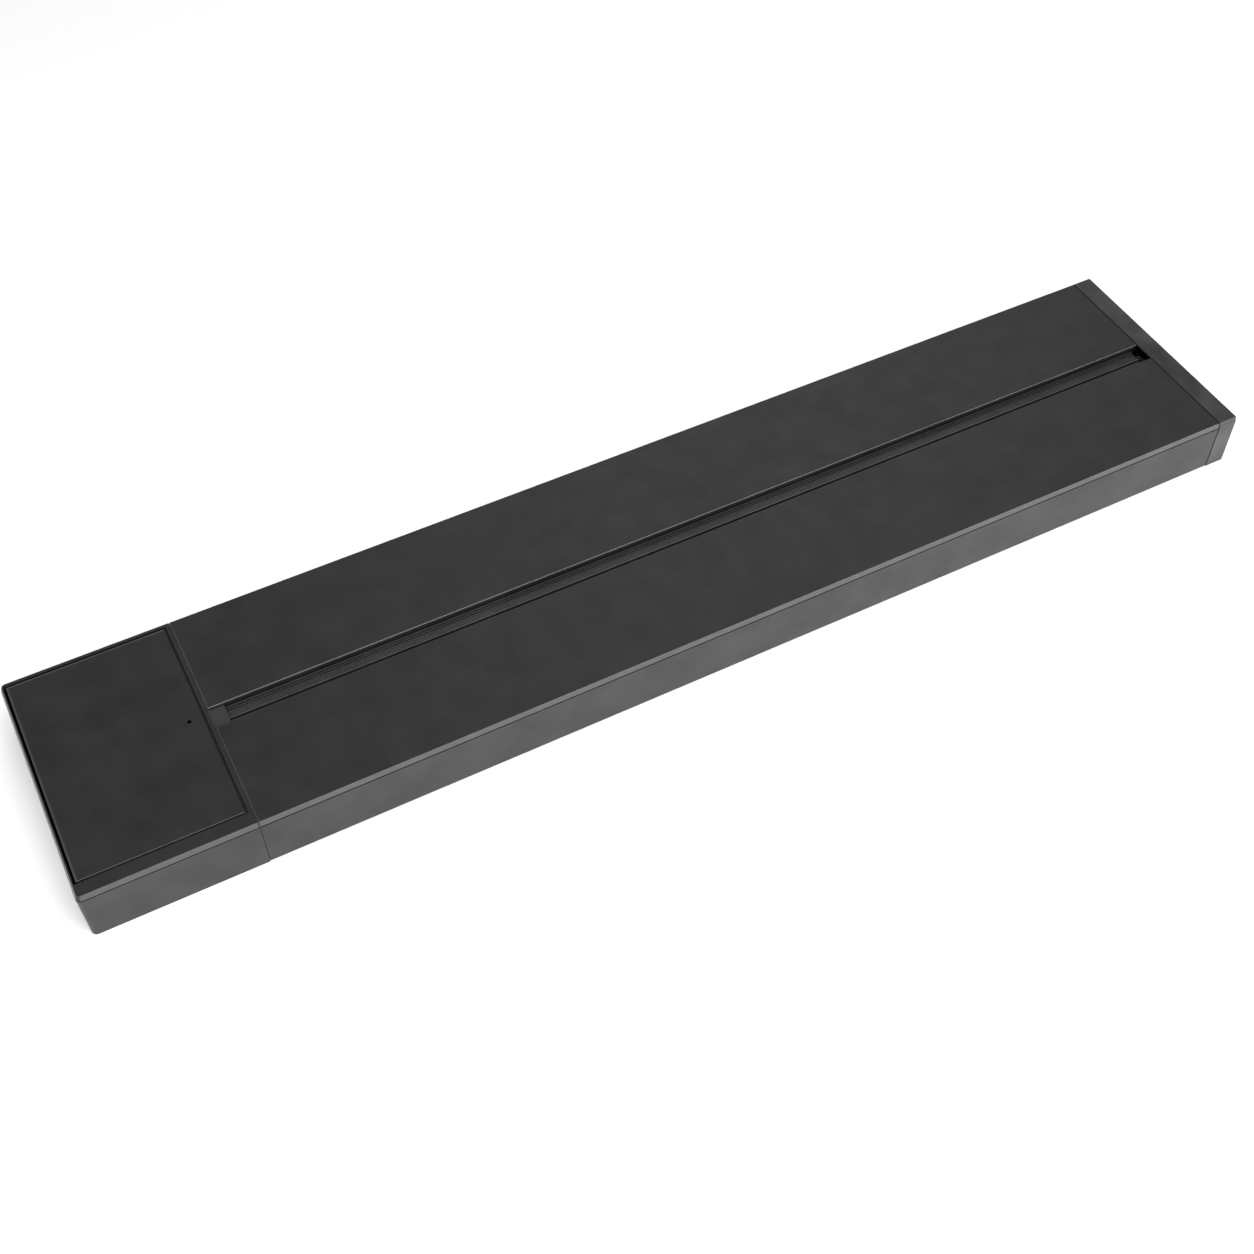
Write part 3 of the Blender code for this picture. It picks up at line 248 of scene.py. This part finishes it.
def circuit_board(name):
    """Green solder mask with finer, paler tracks under it."""
    paint = Paint(name, (0.02, 0.12, 0.06), 0.35)
    bricks = paint.nodes.new("ShaderNodeTexBrick")
    bricks.inputs["Scale"].default_value = 160.0
    bricks.inputs["Mortar Size"].default_value = 0.08
    bricks.offset = 0.37
    bricks.inputs["Color1"].default_value = (0.012, 0.085, 0.040, 1)
    bricks.inputs["Color2"].default_value = (0.016, 0.100, 0.048, 1)
    bricks.inputs["Mortar"].default_value = (0.035, 0.190, 0.090, 1)
    paint.links.new(paint.place, bricks.inputs["Vector"])
    paint.links.new(bricks.outputs["Color"], paint.shader.inputs["Base Color"])
    paint.roughness(paint.spread(paint.noise(140.0), 0.28, 0.42))
    paint.bump(bricks.outputs["Fac"], 0.03 * MM, 0.5)
    return paint.material


MATERIALS = {
    "deck": powder_coat("satin_black_deck", (0.0088, 0.0088, 0.0089), (0.0138, 0.0138, 0.0137),
                         0.42, 0.38),
    # Lip: a glossier coat, and a lighter colour as painted highlight on the tilted lip.
    "lip": powder_coat("lip_gloss_and_painted_highlight", (0.013, 0.013, 0.0132), (0.018, 0.018, 0.0182),
                       0.38, 0.66),
    # Painted highlight: a lighter coat for edges, folds and ridges that catch the light.
    "edge": powder_coat("painted_highlight_black", (0.028, 0.028, 0.0285), (0.042, 0.042, 0.0425),
                        0.34, 0.6),
    "case": powder_coat("satin_black_case", (0.0095, 0.0095, 0.0096), (0.0175, 0.0175, 0.0176),
                        0.40, 0.43),
    "cap": powder_coat("satin_black_cap", (0.010, 0.010, 0.0102), (0.036, 0.036, 0.0362),
                       0.40, 0.45),
    "grille": powder_coat("black_grille", (0.020, 0.020, 0.0205), (0.027, 0.027, 0.0275), 0.38),
    "steel": brushed_metal("brushed_steel", (0.40, 0.40, 0.41), (0.60, 0.60, 0.61), 0.34),
    "brass": brushed_metal("brass_contact", (0.60, 0.42, 0.16), (0.78, 0.58, 0.26), 0.28),
    "plastic": moulded_plastic("dark_plastic", (0.018, 0.018, 0.02), (0.032, 0.032, 0.034), 0.5),
    "tank": see_through("milky_tank", (0.52, 0.60, 0.66), (0.70, 0.77, 0.82), 0.38, 0.35),
    "rubber": rubber_like("soft_rubber", (0.012, 0.012, 0.012), (0.026, 0.026, 0.026)),
    # Painted shade: near black for seats, gaps and grooves that lie in shade.
    "shade": rubber_like("painted_shade_black", (0.003, 0.003, 0.003), (0.007, 0.007, 0.007)),
    "board": circuit_board("green_board"),
    "white": moulded_plastic("white_plastic", (0.74, 0.74, 0.71), (0.84, 0.84, 0.81), 0.42),
    "hose": see_through("clear_hose", (0.62, 0.68, 0.70), (0.76, 0.80, 0.82), 0.25, 0.6),
    "ceramic": moulded_plastic("fired_ceramic", (0.66, 0.63, 0.56), (0.80, 0.78, 0.71), 0.35),
    "led": see_through("led_lens", (0.80, 0.62, 0.18), (0.92, 0.76, 0.30), 0.2, 0.3),
}
SLOT_LOOKS = {"black_steel": "case", "black_grille": "grille", "bare_steel": "steel",
              "dark_plastic": "plastic", "tank_plastic": "tank", "rubber": "rubber",
              "board_green": "board", "strip_white": "white", "hose_clear": "hose",
              "ceramic": "ceramic"}
NODE_SLOTS = {part["node"]: part["material_slot"] for part in frame["record"]["subparts"]}
NODE_BODY = {node: body for body, nodes in frame["record"]["behaviour"]["bodies"].items()
             for node in nodes}


# ---------------------------------------------------------------- piece tools
def place_piece(piece, body, look, replaced=()):
    """Give a finished piece its look and its body, and hide the CAD nodes that it stands for."""
    piece.data.materials.clear()
    piece.data.materials.append(MATERIALS[look])
    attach(piece, body)
    if replaced:
        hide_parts(*replaced)
    return piece


def mesh_piece(name, bm):
    """Turn a finished bmesh into an object in the scene."""
    bmesh.ops.recalc_face_normals(bm, faces=bm.faces)
    mesh = bpy.data.meshes.new(name)
    bm.to_mesh(mesh)
    bm.free()
    piece = bpy.data.objects.new(name, mesh)
    bpy.context.scene.collection.objects.link(piece)
    return piece


def soften(piece, width, segments=3, angle=28):
    """Round every edge sharper than angle, and keep the flat faces flat."""
    piece.data.shade_smooth()
    bevel = piece.modifiers.new("Round", "BEVEL")
    bevel.width = width
    bevel.segments = segments
    bevel.limit_method = "ANGLE"
    bevel.angle_limit = math.radians(angle)
    bevel.miter_outer = "MITER_ARC"
    weigh = piece.modifiers.new("Flat faces", "WEIGHTED_NORMAL")
    weigh.keep_sharp = True
    weigh.weight = 90
    return piece


def repaint(piece, look, chosen):
    """Give the chosen faces of a piece another look."""
    piece.data.materials.append(MATERIALS[look])
    number = len(piece.data.materials) - 1
    for face in piece.data.polygons:
        if chosen(face):
            face.material_index = number


def paint_lips(piece):
    """The sloping lip round the deck has a glossier coat than the flat sheet, and a lighter colour
    that is a painted highlight.
    """
    low, high = CAD_BOUNDS

    def on_lip(face):
        margin = min(face.center.x - low[0], face.center.y - low[1], high[1] - face.center.y)
        outward = max(abs(face.normal.x), abs(face.normal.y))
        return margin < 3 * MM and outward > 0.85 and face.normal.z > 0.1

    repaint(piece, "lip", on_lip)


def shade_lid_opening(piece):
    """Painted shade: the opening's walls at the lid's free side and front are painted near black.
    """
    low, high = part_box("lid")
    reach = 2.6 * MM

    def on_wall(face):
        inside = (low.x < face.center.x < high.x + reach
                  and low.y - reach < face.center.y < high.y)
        return inside and abs(face.normal.z) < 0.5

    repaint(piece, "shade", on_wall)


def paint_tongue(piece):
    """The tongue at the slot's left end is as pale as the grille beside it."""
    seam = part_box("main_housing")[0].x
    repaint(piece, "grille", lambda face: face.normal.z > 0.5 and face.center.x > seam
            and abs(face.center.y) < 12 * MM)


def refined(node, width, look=None, reshape=None):
    """The CAD node's own shape with its edges rounded, in place of the node."""
    bm = bmesh.new()
    bm.from_mesh(frame["nodes"][node].data)
    bmesh.ops.remove_doubles(bm, verts=bm.verts, dist=0.005 * MM)
    bmesh.ops.dissolve_limit(bm, angle_limit=math.radians(0.6), verts=bm.verts, edges=bm.edges)
    many_sided = [face for face in bm.faces if len(face.verts) > 4]
    bmesh.ops.triangulate(bm, faces=many_sided)
    piece = mesh_piece(node + "_made", bm)
    if reshape:
        reshape(piece)
    soften(piece, width, 2)
    slot = NODE_SLOTS[node]
    return place_piece(piece, NODE_BODY[node], look or SLOT_LOOKS[slot], [node])


def box_into(bm, low, high):
    """A box between two corners."""
    size = [b - a for a, b in zip(low, high)]
    centre = [(a + b) / 2 for a, b in zip(low, high)]
    made = bmesh.ops.create_cube(bm, size=1.0)["verts"]
    bmesh.ops.scale(bm, vec=size, verts=made)
    bmesh.ops.translate(bm, vec=centre, verts=made)
    return made


def disc_into(bm, centre, radius, length, segments, top_radius=None):
    """An upright disc or, with a top radius of its own, a cone."""
    made = bmesh.ops.create_cone(bm, cap_ends=True, segments=segments, radius1=radius,
                                 radius2=radius if top_radius is None else top_radius,
                                 depth=length)["verts"]
    bmesh.ops.translate(bm, vec=centre, verts=made)


def ring_into(bm, centre, inner, outer, length, segments=32):
    """A short tube along Y, square in section."""
    rows = []
    for radius, level in ((inner, -0.5), (outer, -0.5), (outer, 0.5), (inner, 0.5)):
        row = []
        for step in range(segments):
            angle = 2 * math.pi * step / segments
            row.append(bm.verts.new((radius * math.cos(angle), radius * math.sin(angle),
                                     level * length)))
        rows.append(row)
    for first, second in zip(rows, rows[1:] + rows[:1]):
        for step in range(segments):
            after = (step + 1) % segments
            bm.faces.new((first[step], first[after], second[after], second[step]))
    made = [vertex for row in rows for vertex in row]
    bmesh.ops.rotate(bm, verts=made, matrix=Matrix.Rotation(math.pi / 2, 3, "X"))
    bmesh.ops.translate(bm, vec=centre, verts=made)


def cut_away(piece, blocks):
    """Cut boxes out of a piece."""
    bm = bmesh.new()
    for low, high in blocks:
        box_into(bm, low, high)
    cut_with(piece, bm)


def cut_with(piece, bm):
    """Cut the shape held in bm out of a piece for good."""
    cutter = mesh_piece("cutter", bm)
    step = piece.modifiers.new("Cut", "BOOLEAN")
    step.operation = "DIFFERENCE"
    step.object = cutter
    depsgraph = bpy.context.evaluated_depsgraph_get()
    made = bpy.data.meshes.new_from_object(piece.evaluated_get(depsgraph))
    piece.modifiers.remove(step)
    piece.data = made
    bpy.data.objects.remove(cutter, do_unlink=True)


def filleted(corners, steps=5):
    """Corners are (y, z, radius): each one becomes an arc of that radius."""
    points = []
    for number, (y, z, radius) in enumerate(corners):
        here = Vector((y, z))
        before = Vector(corners[number - 1][:2])
        after = Vector(corners[(number + 1) % len(corners)][:2])
        back = (before - here).normalized()
        forth = (after - here).normalized()
        half = back.angle(forth) / 2
        if radius == 0:
            points.append(here)
            continue
        reach = radius / math.tan(half)
        centre = here + (back + forth).normalized() * radius / math.sin(half)
        start = here + back * reach - centre
        swing = start.angle_signed(here + forth * reach - centre)
        for step in range(steps + 1):
            turn = Matrix.Rotation(-swing * step / steps, 2)
            points.append(centre + turn @ start)
    return points


def drawn_sheet(name, corners, start, end):
    """A folded sheet: a rounded (y, z) section drawn out along X."""
    outline = filleted(corners)
    bm = bmesh.new()
    first = [bm.verts.new((start, y, z)) for y, z in outline]
    last = [bm.verts.new((end, y, z)) for y, z in outline]
    bm.faces.new(first)
    bm.faces.new(list(reversed(last)))
    for number in range(len(outline)):
        after = (number + 1) % len(outline)
        bm.faces.new((first[number], last[number], last[after], first[after]))
    return mesh_piece(name, bm)


def mark_across(piece, place, normal):
    """Add an edge loop across a sheet, so the strip beside its end can take a painted highlight."""
    bm = bmesh.new()
    bm.from_mesh(piece.data)
    bmesh.ops.bisect_plane(bm, geom=bm.verts[:] + bm.edges[:] + bm.faces[:],
                           plane_co=place, plane_no=normal)
    bm.to_mesh(piece.data)
    bm.free()


# ---------------------------------------------------------------- outer sheets
SHEET = 1.5 * MM
GROOVE = 0.9 * MM    # shadow gap between the lip and the wall under it
GROOVE_DEPTH = SHEET - 0.3 * MM
CAP_GROOVE = 1.0 * MM    # shadow gap between the end cap and its neighbours
# RIM_LINE is the width of the painted highlight inside the lid's left and rear edges.
RIM_LINE = 2.0 * MM      # width of the pale line inside the lid's left and rear edges


def make_fascia_channel():
    """Front wall, floor and back wall in one sheet, with the blowers' intake slits."""
    low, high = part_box("main_housing")
    bend, inner, hem = 1.8 * MM, 0.4 * MM, 0.35 * MM
    half, top = high.y, high.z
    ledge = top - GROOVE
    corners = [(-half, 0, bend), (-half, ledge, hem / 2), (-half + GROOVE_DEPTH, ledge, 0),
               (-half + GROOVE_DEPTH, top, 0), (-half + SHEET, top, 0),
               (-half + SHEET, SHEET, inner), (half - SHEET, SHEET, inner),
               (half - SHEET, top, 0), (half - GROOVE_DEPTH, top, 0),
               (half - GROOVE_DEPTH, ledge, 0),
               (half, ledge, hem / 2), (half, 0, bend)]
    channel = drawn_sheet("fascia_channel", corners, low.x, high.x)
    slit_half, slit_pitch = 1.5 * MM, 8 * MM
    slit_low, slit_high = 12 * MM, 36 * MM
    inward, outward = 6 * MM, 5 * MM
    slits = []
    for number in (1, 2, 3):
        blower_low, blower_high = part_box(f"blower_housing_{number}")
        middle = (blower_low.x + blower_high.x) / 2
        for place in range(-3, 4):
            x = middle + place * slit_pitch
            slits.append(((x - slit_half, half - inward, slit_low),
                          (x + slit_half, half + outward, slit_high)))
    cut_away(channel, slits)
    soften(channel, 0.2 * MM, 2, 40)
    place_piece(channel, "chassis", "case", ["main_housing"])
    # Painted shade: the faces of the groove under the lip are painted near black.
    repaint(channel, "shade", lambda face: face.center.z > top - GROOVE - NEAR)


def groove_service_housing(piece):
    """The same shadow gap round the three outer walls of the service module."""
    low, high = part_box("service_housing")
    radius, proud = 5 * MM, 2 * MM
    corner_steps = 8
    path = [((high.x + proud, low.y), (0, -1))]
    for side, first, last in ((-1, 270, 180), (1, 180, 90)):
        centre = (low.x + radius, side * (high.y - radius))
        for step in range(corner_steps + 1):
            angle = math.radians(first + (last - first) * step / corner_steps)
            normal = (math.cos(angle), math.sin(angle))
            path.append(((centre[0] + radius * normal[0], centre[1] + radius * normal[1]), normal))
    path.append(((high.x + proud, high.y), (0, 1)))
    bm = bmesh.new()
    rows = []
    for (x, y), (nx, ny) in path:
        rows.append([bm.verts.new((x + nx * reach, y + ny * reach, z))
                     for reach, z in ((-GROOVE_DEPTH, high.z - GROOVE), (proud, high.z - GROOVE),
                                      (proud, high.z + proud), (-GROOVE_DEPTH, high.z + proud))])
    for before, after in zip(rows, rows[1:]):
        for number in range(4):
            follow = (number + 1) % 4
            bm.faces.new((before[number], after[number], after[follow], before[follow]))
    bm.faces.new(rows[0])
    bm.faces.new(list(reversed(rows[-1])))
    cut_with(piece, bm)


def groove_end_cap(piece):
    """A shadow gap where the cap meets the deck plates and the fascia."""
    low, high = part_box("end_cap")
    start, end = low.x - MM, low.x + CAP_GROOVE
    reach = CAP_GROOVE
    cut_away(piece, [((start, low.y - MM, high.z - reach), (end, high.y + MM, high.z + MM)),
                     ((start, low.y - MM, -MM), (end, low.y + reach, high.z + MM)),
                     ((start, high.y - reach, -MM), (end, high.y + MM, high.z + MM))])


def paint_cap_groove(piece):
    """Painted shade: the faces of the end cap's shadow gap are painted near black, like the seams.
    """
    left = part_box("end_cap")[0].x
    repaint(piece, "shade", lambda face: face.center.x < left + CAP_GROOVE + NEAR)


def paint_wall_groove(piece):
    """Painted shade: the faces of the gap under the service module's lip are painted near black."""
    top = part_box("service_housing")[1].z
    repaint(piece, "shade", lambda face: face.center.z > top - GROOVE - NEAR)


def paint_lid_rim(piece):
    """Painted highlight: the pressed edge and a line just inside the lid's left and rear edges get
    a lighter coat.
    """
    low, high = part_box("lid")

    def on_edge(face):
        if face.center.z < high.z - 1.2 * MM or face.normal.z < 0.15 or face.normal.x > 0.1:
            return False
        beside = face.center.x < low.x + RIM_LINE or face.center.y > high.y - RIM_LINE
        return face.normal.z < 0.985 or beside

    repaint(piece, "edge", on_edge)


def round_lid_rim(piece):
    """A soft pressed edge round three sides of the lid's top; the free side stays sharp."""
    low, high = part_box("lid")
    bm = bmesh.new()
    bm.from_mesh(piece.data)

    def on_rim(vertex):
        place = vertex.co
        near = min(place.x - low.x, high.x - place.x, place.y - low.y, high.y - place.y)
        return abs(place.z - high.z) < NEAR and near < NEAR

    rim = [edge for edge in bm.edges if all(on_rim(vertex) for vertex in edge.verts)
           and min(vertex.co.x for vertex in edge.verts) < high.x - NEAR]
    bmesh.ops.bevel(bm, geom=rim, offset=0.9 * MM, segments=4, affect="EDGES", profile=0.5)
    bm.to_mesh(piece.data)
    bm.free()
    mark_across(piece, (low.x + RIM_LINE, 0, 0), (1, 0, 0))
    mark_across(piece, (0, high.y - RIM_LINE, 0), (0, 1, 0))


def make_deck_plates():
    """Front and rear deck plates: sloping lip outside, rounded fold beside the slot."""
    for node, side in (("front_deck_plate", -1), ("rear_deck_plate", 1)):
        low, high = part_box(node)
        outer, slot_edge = max(abs(low.y), abs(high.y)), min(abs(low.y), abs(high.y))
        lip_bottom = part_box("service_deck")[0].z
        top, under = high.z, high.z - SHEET
        lean = 1.8 * MM
        drop = top - lip_bottom
        inside = outer - lean * (drop - SHEET) / drop - SHEET
        section = [(outer, lip_bottom, 0.3 * MM), (outer - lean, top, 0.55 * MM),
                   (slot_edge, top, 0.8 * MM), (slot_edge, low.z, 0.3 * MM),
                   (slot_edge + SHEET, low.z, 0.3 * MM), (slot_edge + SHEET, under, 0.2 * MM),
                   (inside, under, 0.2 * MM), (outer - SHEET, lip_bottom, 0.3 * MM)]
        corners = [(side * y, z, radius) for y, z, radius in section]
        if side > 0:
            corners.reverse()
        plate = drawn_sheet(node + "_made", corners, low.x, high.x)
        # Painted highlight: the strip up to this line at the plate's left end gets a lighter coat.
        highlight_end = low.x + 0.9 * MM
        mark_across(plate, (highlight_end, 0, 0), (1, 0, 0))
        soften(plate, 0.35 * MM, 3, 40)
        place_piece(plate, "chassis", "deck", [node])
        paint_lips(plate)
        repaint(plate, "edge", lambda face: face.normal.z > 0.9 and face.center.x < highlight_end)
        # Painted highlight: the rear plate's fold beside the slot gets a lighter coat.
        if side > 0:
            repaint(plate, "edge", lambda face: face.normal.z > 0.1 and face.normal.y < -0.2
                    and face.center.y < slot_edge + MM)


def make_seam_gasket():
    """Dark foam in the seam between the two modules, a little below their surfaces."""
    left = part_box("service_housing")[1].x
    right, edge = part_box("main_housing")[0].x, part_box("main_housing")[1].y
    deck_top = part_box("service_deck")[1].z
    play, floor_level = 0.1 * MM, 1.0 * MM
    start, end = left + play, right - play
    wall_outside, inside = edge - 1.0 * MM, edge - 7.0 * MM
    leg_outside, lip_outside = edge - 1.3 * MM, edge - 2.4 * MM
    beside_slot = 12.5 * MM
    bm = bmesh.new()
    for side in (-1, 1):
        wall = sorted((side * wall_outside, side * inside))
        top = sorted((side * lip_outside, side * beside_slot))
        leg = sorted((side * leg_outside, side * inside))
        box_into(bm, (start, wall[0], floor_level), (end, wall[1], deck_top - 6.5 * MM))
        box_into(bm, (start, top[0], deck_top - 4.5 * MM), (end, top[1], deck_top - 0.5 * MM))
        box_into(bm, (start, leg[0], deck_top - 7.0 * MM), (end, leg[1], deck_top - 3.2 * MM))
    box_into(bm, (start, -inside, floor_level), (end, inside, 3.0 * MM))
    place_piece(mesh_piece("seam_gasket", bm), "chassis", "rubber")


def make_flame_grille():
    """Ribs along the slot, the rearmost ones standing higher, and a ridge on the widest one.

    Each rib is (centre, width) in millimetres. They start under the service deck's tongue.
    """
    low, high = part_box("slot_grille")
    top = high.z - 2 * MM
    under_tongue = 3.5 * MM
    ribs = [(10.2, 1.9), (8.0, 1.75), (5.8, 1.75), (3.6, 1.75), (1.4, 1.75), (-1.6, 3.2),
            (-5.2, 2.0), (-7.6, 1.8), (-9.95, 2.4)]
    start = low.x - under_tongue
    bm = bmesh.new()
    for centre, width in ribs:
        raised = max(0, (centre - 6) * 0.4) * MM
        box_into(bm, (start, (centre - width / 2) * MM, top - 3 * MM),
                 (high.x, (centre + width / 2) * MM, top + raised))
    box_into(bm, (start, -3.2 * MM, top - 0.5 * MM), (high.x, -1.7 * MM, high.z))
    for side in (-1, 1):
        edges = sorted((side * 10.25 * MM, side * 11.15 * MM))
        box_into(bm, (low.x, edges[0], low.z), (high.x, edges[1], top - 2.5 * MM))
    bays, bar_half = 8, 1.5 * MM
    pitch = (high.x - low.x) / bays
    for number in range(bays + 1):
        x = min(max(low.x + number * pitch, low.x + bar_half), high.x - bar_half)
        box_into(bm, (x - bar_half, -11.0 * MM, top - 2.8 * MM),
                 (x + bar_half, 11.0 * MM, top - 1.0 * MM))
    grille = mesh_piece("flame_grille", bm)
    soften(grille, 0.22 * MM, 2)
    place_piece(grille, "chassis", "grille", ["slot_grille"])
    # Painted highlight: the top of the ridge gets a lighter coat.
    repaint(grille, "edge", lambda face: face.center.z > high.z - 0.2 * MM)


# ---------------------------------------------------------------- small detail
def screw_heads(name, places, radius, body):
    """Pan heads with a raised cross, each standing on its (x, y, z) place."""
    bm = bmesh.new()
    for x, y, z in places:
        disc_into(bm, (x, y, z + radius * 0.16), radius, radius * 0.32, 24)
        disc_into(bm, (x, y, z + radius * 0.46), radius, radius * 0.28, 24,
                  radius * 0.72)
        for turn in (0, math.pi / 2):
            arm = box_into(bm, (-radius * 0.5, -radius * 0.1, 0), (radius * 0.5, radius * 0.1,
                                                                   radius * 0.05))
            bmesh.ops.rotate(bm, verts=arm, matrix=Matrix.Rotation(turn + 0.4, 3, "Z"))
            bmesh.ops.translate(bm, verts=arm, vec=(x, y, z + radius * 0.58))
    heads = mesh_piece(name, bm)
    heads.data.shade_flat()
    place_piece(heads, body, "steel")


def make_led_chips():
    """A row of small light-emitting chips on each strip."""
    for side in ("front", "rear"):
        low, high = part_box(f"led_strip_{side}")
        middle = (low.y + high.y) / 2
        count, chip_half, chip_height = 98, 1.4 * MM, 0.7 * MM
        step = (high.x - low.x) / count
        bm = bmesh.new()
        for number in range(count):
            x = low.x + (number + 0.5) * step
            box_into(bm, (x - chip_half, middle - chip_half, high.z),
                     (x + chip_half, middle + chip_half, high.z + chip_height))
        chips = mesh_piece(f"led_chips_{side}", bm)
        place_piece(chips, "chassis", "led")


def make_board_parts(node, seed, count):
    """Chips and capacitors in two rows on top of a circuit board."""
    low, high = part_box(node)
    draw = random.Random(seed)
    long_board = node == "driver_board"
    surface = high.z if long_board else low.z + 1.5 * MM
    height_limit = 9 * MM if long_board else 2.6 * MM
    chips = bmesh.new()
    cans = bmesh.new()
    rows = count // 2
    for number in range(count):
        across, along = (number % 2 + 0.5) / 2, (number // 2 + 0.5) / rows
        share_x, share_y = (along, across) if long_board else (across, along)
        x0 = low.x + (high.x - low.x) * share_x
        y0 = low.y + (high.y - low.y) * share_y
        if draw.random() < 0.6:
            half = draw.uniform(1.6, 3.6) * MM
            box_into(chips, (x0 - half, y0 - half * 0.7, surface),
                     (x0 + half, y0 + half * 0.7, surface + 1.3 * MM))
        else:
            radius = draw.uniform(1.6, 3.0) * MM
            tall = min(height_limit, radius * 2.4)
            disc_into(cans, (x0, y0, surface + tall / 2), radius, tall, 20)
    made = [(mesh_piece(f"{node}_chips", chips), "dark_plastic", "plastic"),
            (mesh_piece(f"{node}_capacitors", cans), "bare_steel", "steel")]
    for piece, slot, look in made:
        soften(piece, 0.2 * MM, 2)
        place_piece(piece, "chassis", look)


def make_cap_grip():
    """Finger ribs round the filler cap and a raised bar across its top."""
    low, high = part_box("filler_cap")
    centre = (low + high) / 2
    radius = (high.x - low.x) / 2
    bm = bmesh.new()
    ribs = 30
    for number in range(ribs):
        rib = box_into(bm, (radius - 0.3 * MM, -0.6 * MM, low.z + 3.5 * MM),
                       (radius + 0.6 * MM, 0.6 * MM, high.z - 0.8 * MM))
        bmesh.ops.rotate(bm, verts=rib, matrix=Matrix.Rotation(2 * math.pi * number / ribs, 3, "Z"))
        bmesh.ops.translate(bm, verts=rib, vec=(centre.x, centre.y, 0))
    box_into(bm, (centre.x - 14 * MM, centre.y - 2.2 * MM, high.z - 0.2 * MM),
             (centre.x + 14 * MM, centre.y + 2.2 * MM, high.z + 0.8 * MM))
    grip = soften(mesh_piece("filler_cap_grip", bm), 0.25 * MM, 2)
    place_piece(grip, NODE_BODY["filler_cap"], "plastic")


def make_tactile_dots():
    """One to four raised dots tell the push buttons apart."""
    for count, name in enumerate(("power", "flame", "light", "speed"), 1):
        low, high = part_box(f"button_{name}")
        centre = (low + high) / 2
        bm = bmesh.new()
        for number in range(count):
            x = centre.x + (number - (count - 1) / 2) * 1.7 * MM
            disc_into(bm, (x, centre.y, high.z + 0.05 * MM), 0.6 * MM, 0.3 * MM, 16, 0.4 * MM)
        dots = mesh_piece(f"tactile_dots_{name}", bm)
        place_piece(dots, NODE_BODY[f"button_{name}"], "white")


def make_panel_screws():
    """A screw in each corner of the control panel."""
    low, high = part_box("control_panel")
    inset = 3.2 * MM
    places = [(x, y, high.z) for x in (low.x + inset, high.x - inset)
              for y in (low.y + inset, high.y - inset)]
    screw_heads("panel_screws", places, 1.8 * MM, "chassis")


def make_tank_ribs():
    """Moulded stiffening ribs on the roof of the water tank, clear of its neck."""
    low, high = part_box("water_tank")
    roof = high.z - 4.5 * MM
    bm = bmesh.new()
    for y in (low.y + 9 * MM, high.y - 42 * MM, high.y - 34 * MM, high.y - 8 * MM):
        box_into(bm, (low.x + 8 * MM, y - 0.9 * MM, roof - 0.3 * MM),
                 (high.x - 8 * MM, y + 0.9 * MM, roof + 0.8 * MM))
    ribs = soften(mesh_piece("tank_ribs", bm), 0.35 * MM, 2)
    place_piece(ribs, "chassis", "tank")


def make_hose_clamps():
    """A ring and its tightening block at each end of the suction hose."""
    low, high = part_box("suction_hose")
    centre = (low + high) / 2
    bm = bmesh.new()
    for y in (low.y + 2.2 * MM, high.y - 2.2 * MM):
        ring_into(bm, (centre.x, y, centre.z), 3.9 * MM, 4.9 * MM, 3 * MM)
        box_into(bm, (centre.x - 2 * MM, y - 1.5 * MM, high.z + 0.4 * MM),
                 (centre.x + 2 * MM, y + 1.5 * MM, high.z + 2.6 * MM))
    clamps = soften(mesh_piece("hose_clamps", bm), 0.2 * MM, 2)
    place_piece(clamps, "chassis", "steel")


def make_inlet_contacts():
    """Brass sleeves on the three flat contacts in the mains inlet's recess."""
    low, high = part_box("mains_inlet")
    centre = (low + high) / 2
    bm = bmesh.new()
    for across, above in ((-7, -2), (7, -2), (0, 2)):
        x, z = centre.x + across * MM, centre.z + above * MM
        box_into(bm, (x - 2.15 * MM, low.y + 8.1 * MM, z - 0.65 * MM),
                 (x + 2.15 * MM, high.y - 3.5 * MM, z + 0.65 * MM))
    pins = soften(mesh_piece("inlet_contacts", bm), 0.2 * MM, 2)
    place_piece(pins, "chassis", "brass")


# ---------------------------------------------------------------- build
make_camera()
make_studio()
make_fascia_channel()
make_deck_plates()
make_seam_gasket()
make_flame_grille()
make_led_chips()
make_board_parts("control_board", 3, 12)
make_board_parts("driver_board", 5, 20)
make_cap_grip()
make_tactile_dots()
make_panel_screws()
make_tank_ribs()
make_hose_clamps()
make_inlet_contacts()

EDGE_ROUNDING = {
    "service_housing": 0.25 * MM, "service_deck": 0.45 * MM, "end_cap": 0.3 * MM,
    "lid": 0.2 * MM, "control_panel": 0.5 * MM,
    "water_tank": 0.9 * MM, "mist_trough": 0.5 * MM, "trough_cover": 0.4 * MM,
    "power_supply": 0.5 * MM, "filler_cap": 0.5 * MM,
}
SHOWN_ALREADY = {"main_housing", "front_deck_plate", "rear_deck_plate", "slot_grille"}
# Painted shade: the lid's seat frame and gasket are painted near black, so the gap round the lid
# reads dark.
KEPT_SHAPE = {"lid_seat_frame", "lid_gasket"}
LOOKS = {"lid": "deck", "service_deck": "deck", "end_cap": "cap"}
RESHAPED = {"service_housing": groove_service_housing, "end_cap": groove_end_cap,
            "lid": round_lid_rim}
REPAINTED = {"service_deck": (paint_lips, paint_tongue, shade_lid_opening),
             "end_cap": (paint_cap_groove,), "lid": (paint_lid_rim,),
             "service_housing": (paint_wall_groove,)}


def finish_other_nodes():
    """Every node that has no piece of its own yet gets one, or keeps its shape in near-black
    painted shade.
    """
    for node in sorted(frame["nodes"]):
        if node in KEPT_SHAPE:
            frame["nodes"][node].material_slots[0].material = MATERIALS["shade"]
        elif node not in SHOWN_ALREADY:
            made = refined(node, EDGE_ROUNDING.get(node, 0.25 * MM), LOOKS.get(node),
                           RESHAPED.get(node))
            for touch in REPAINTED.get(node, ()):
                touch(made)


finish_other_nodes()
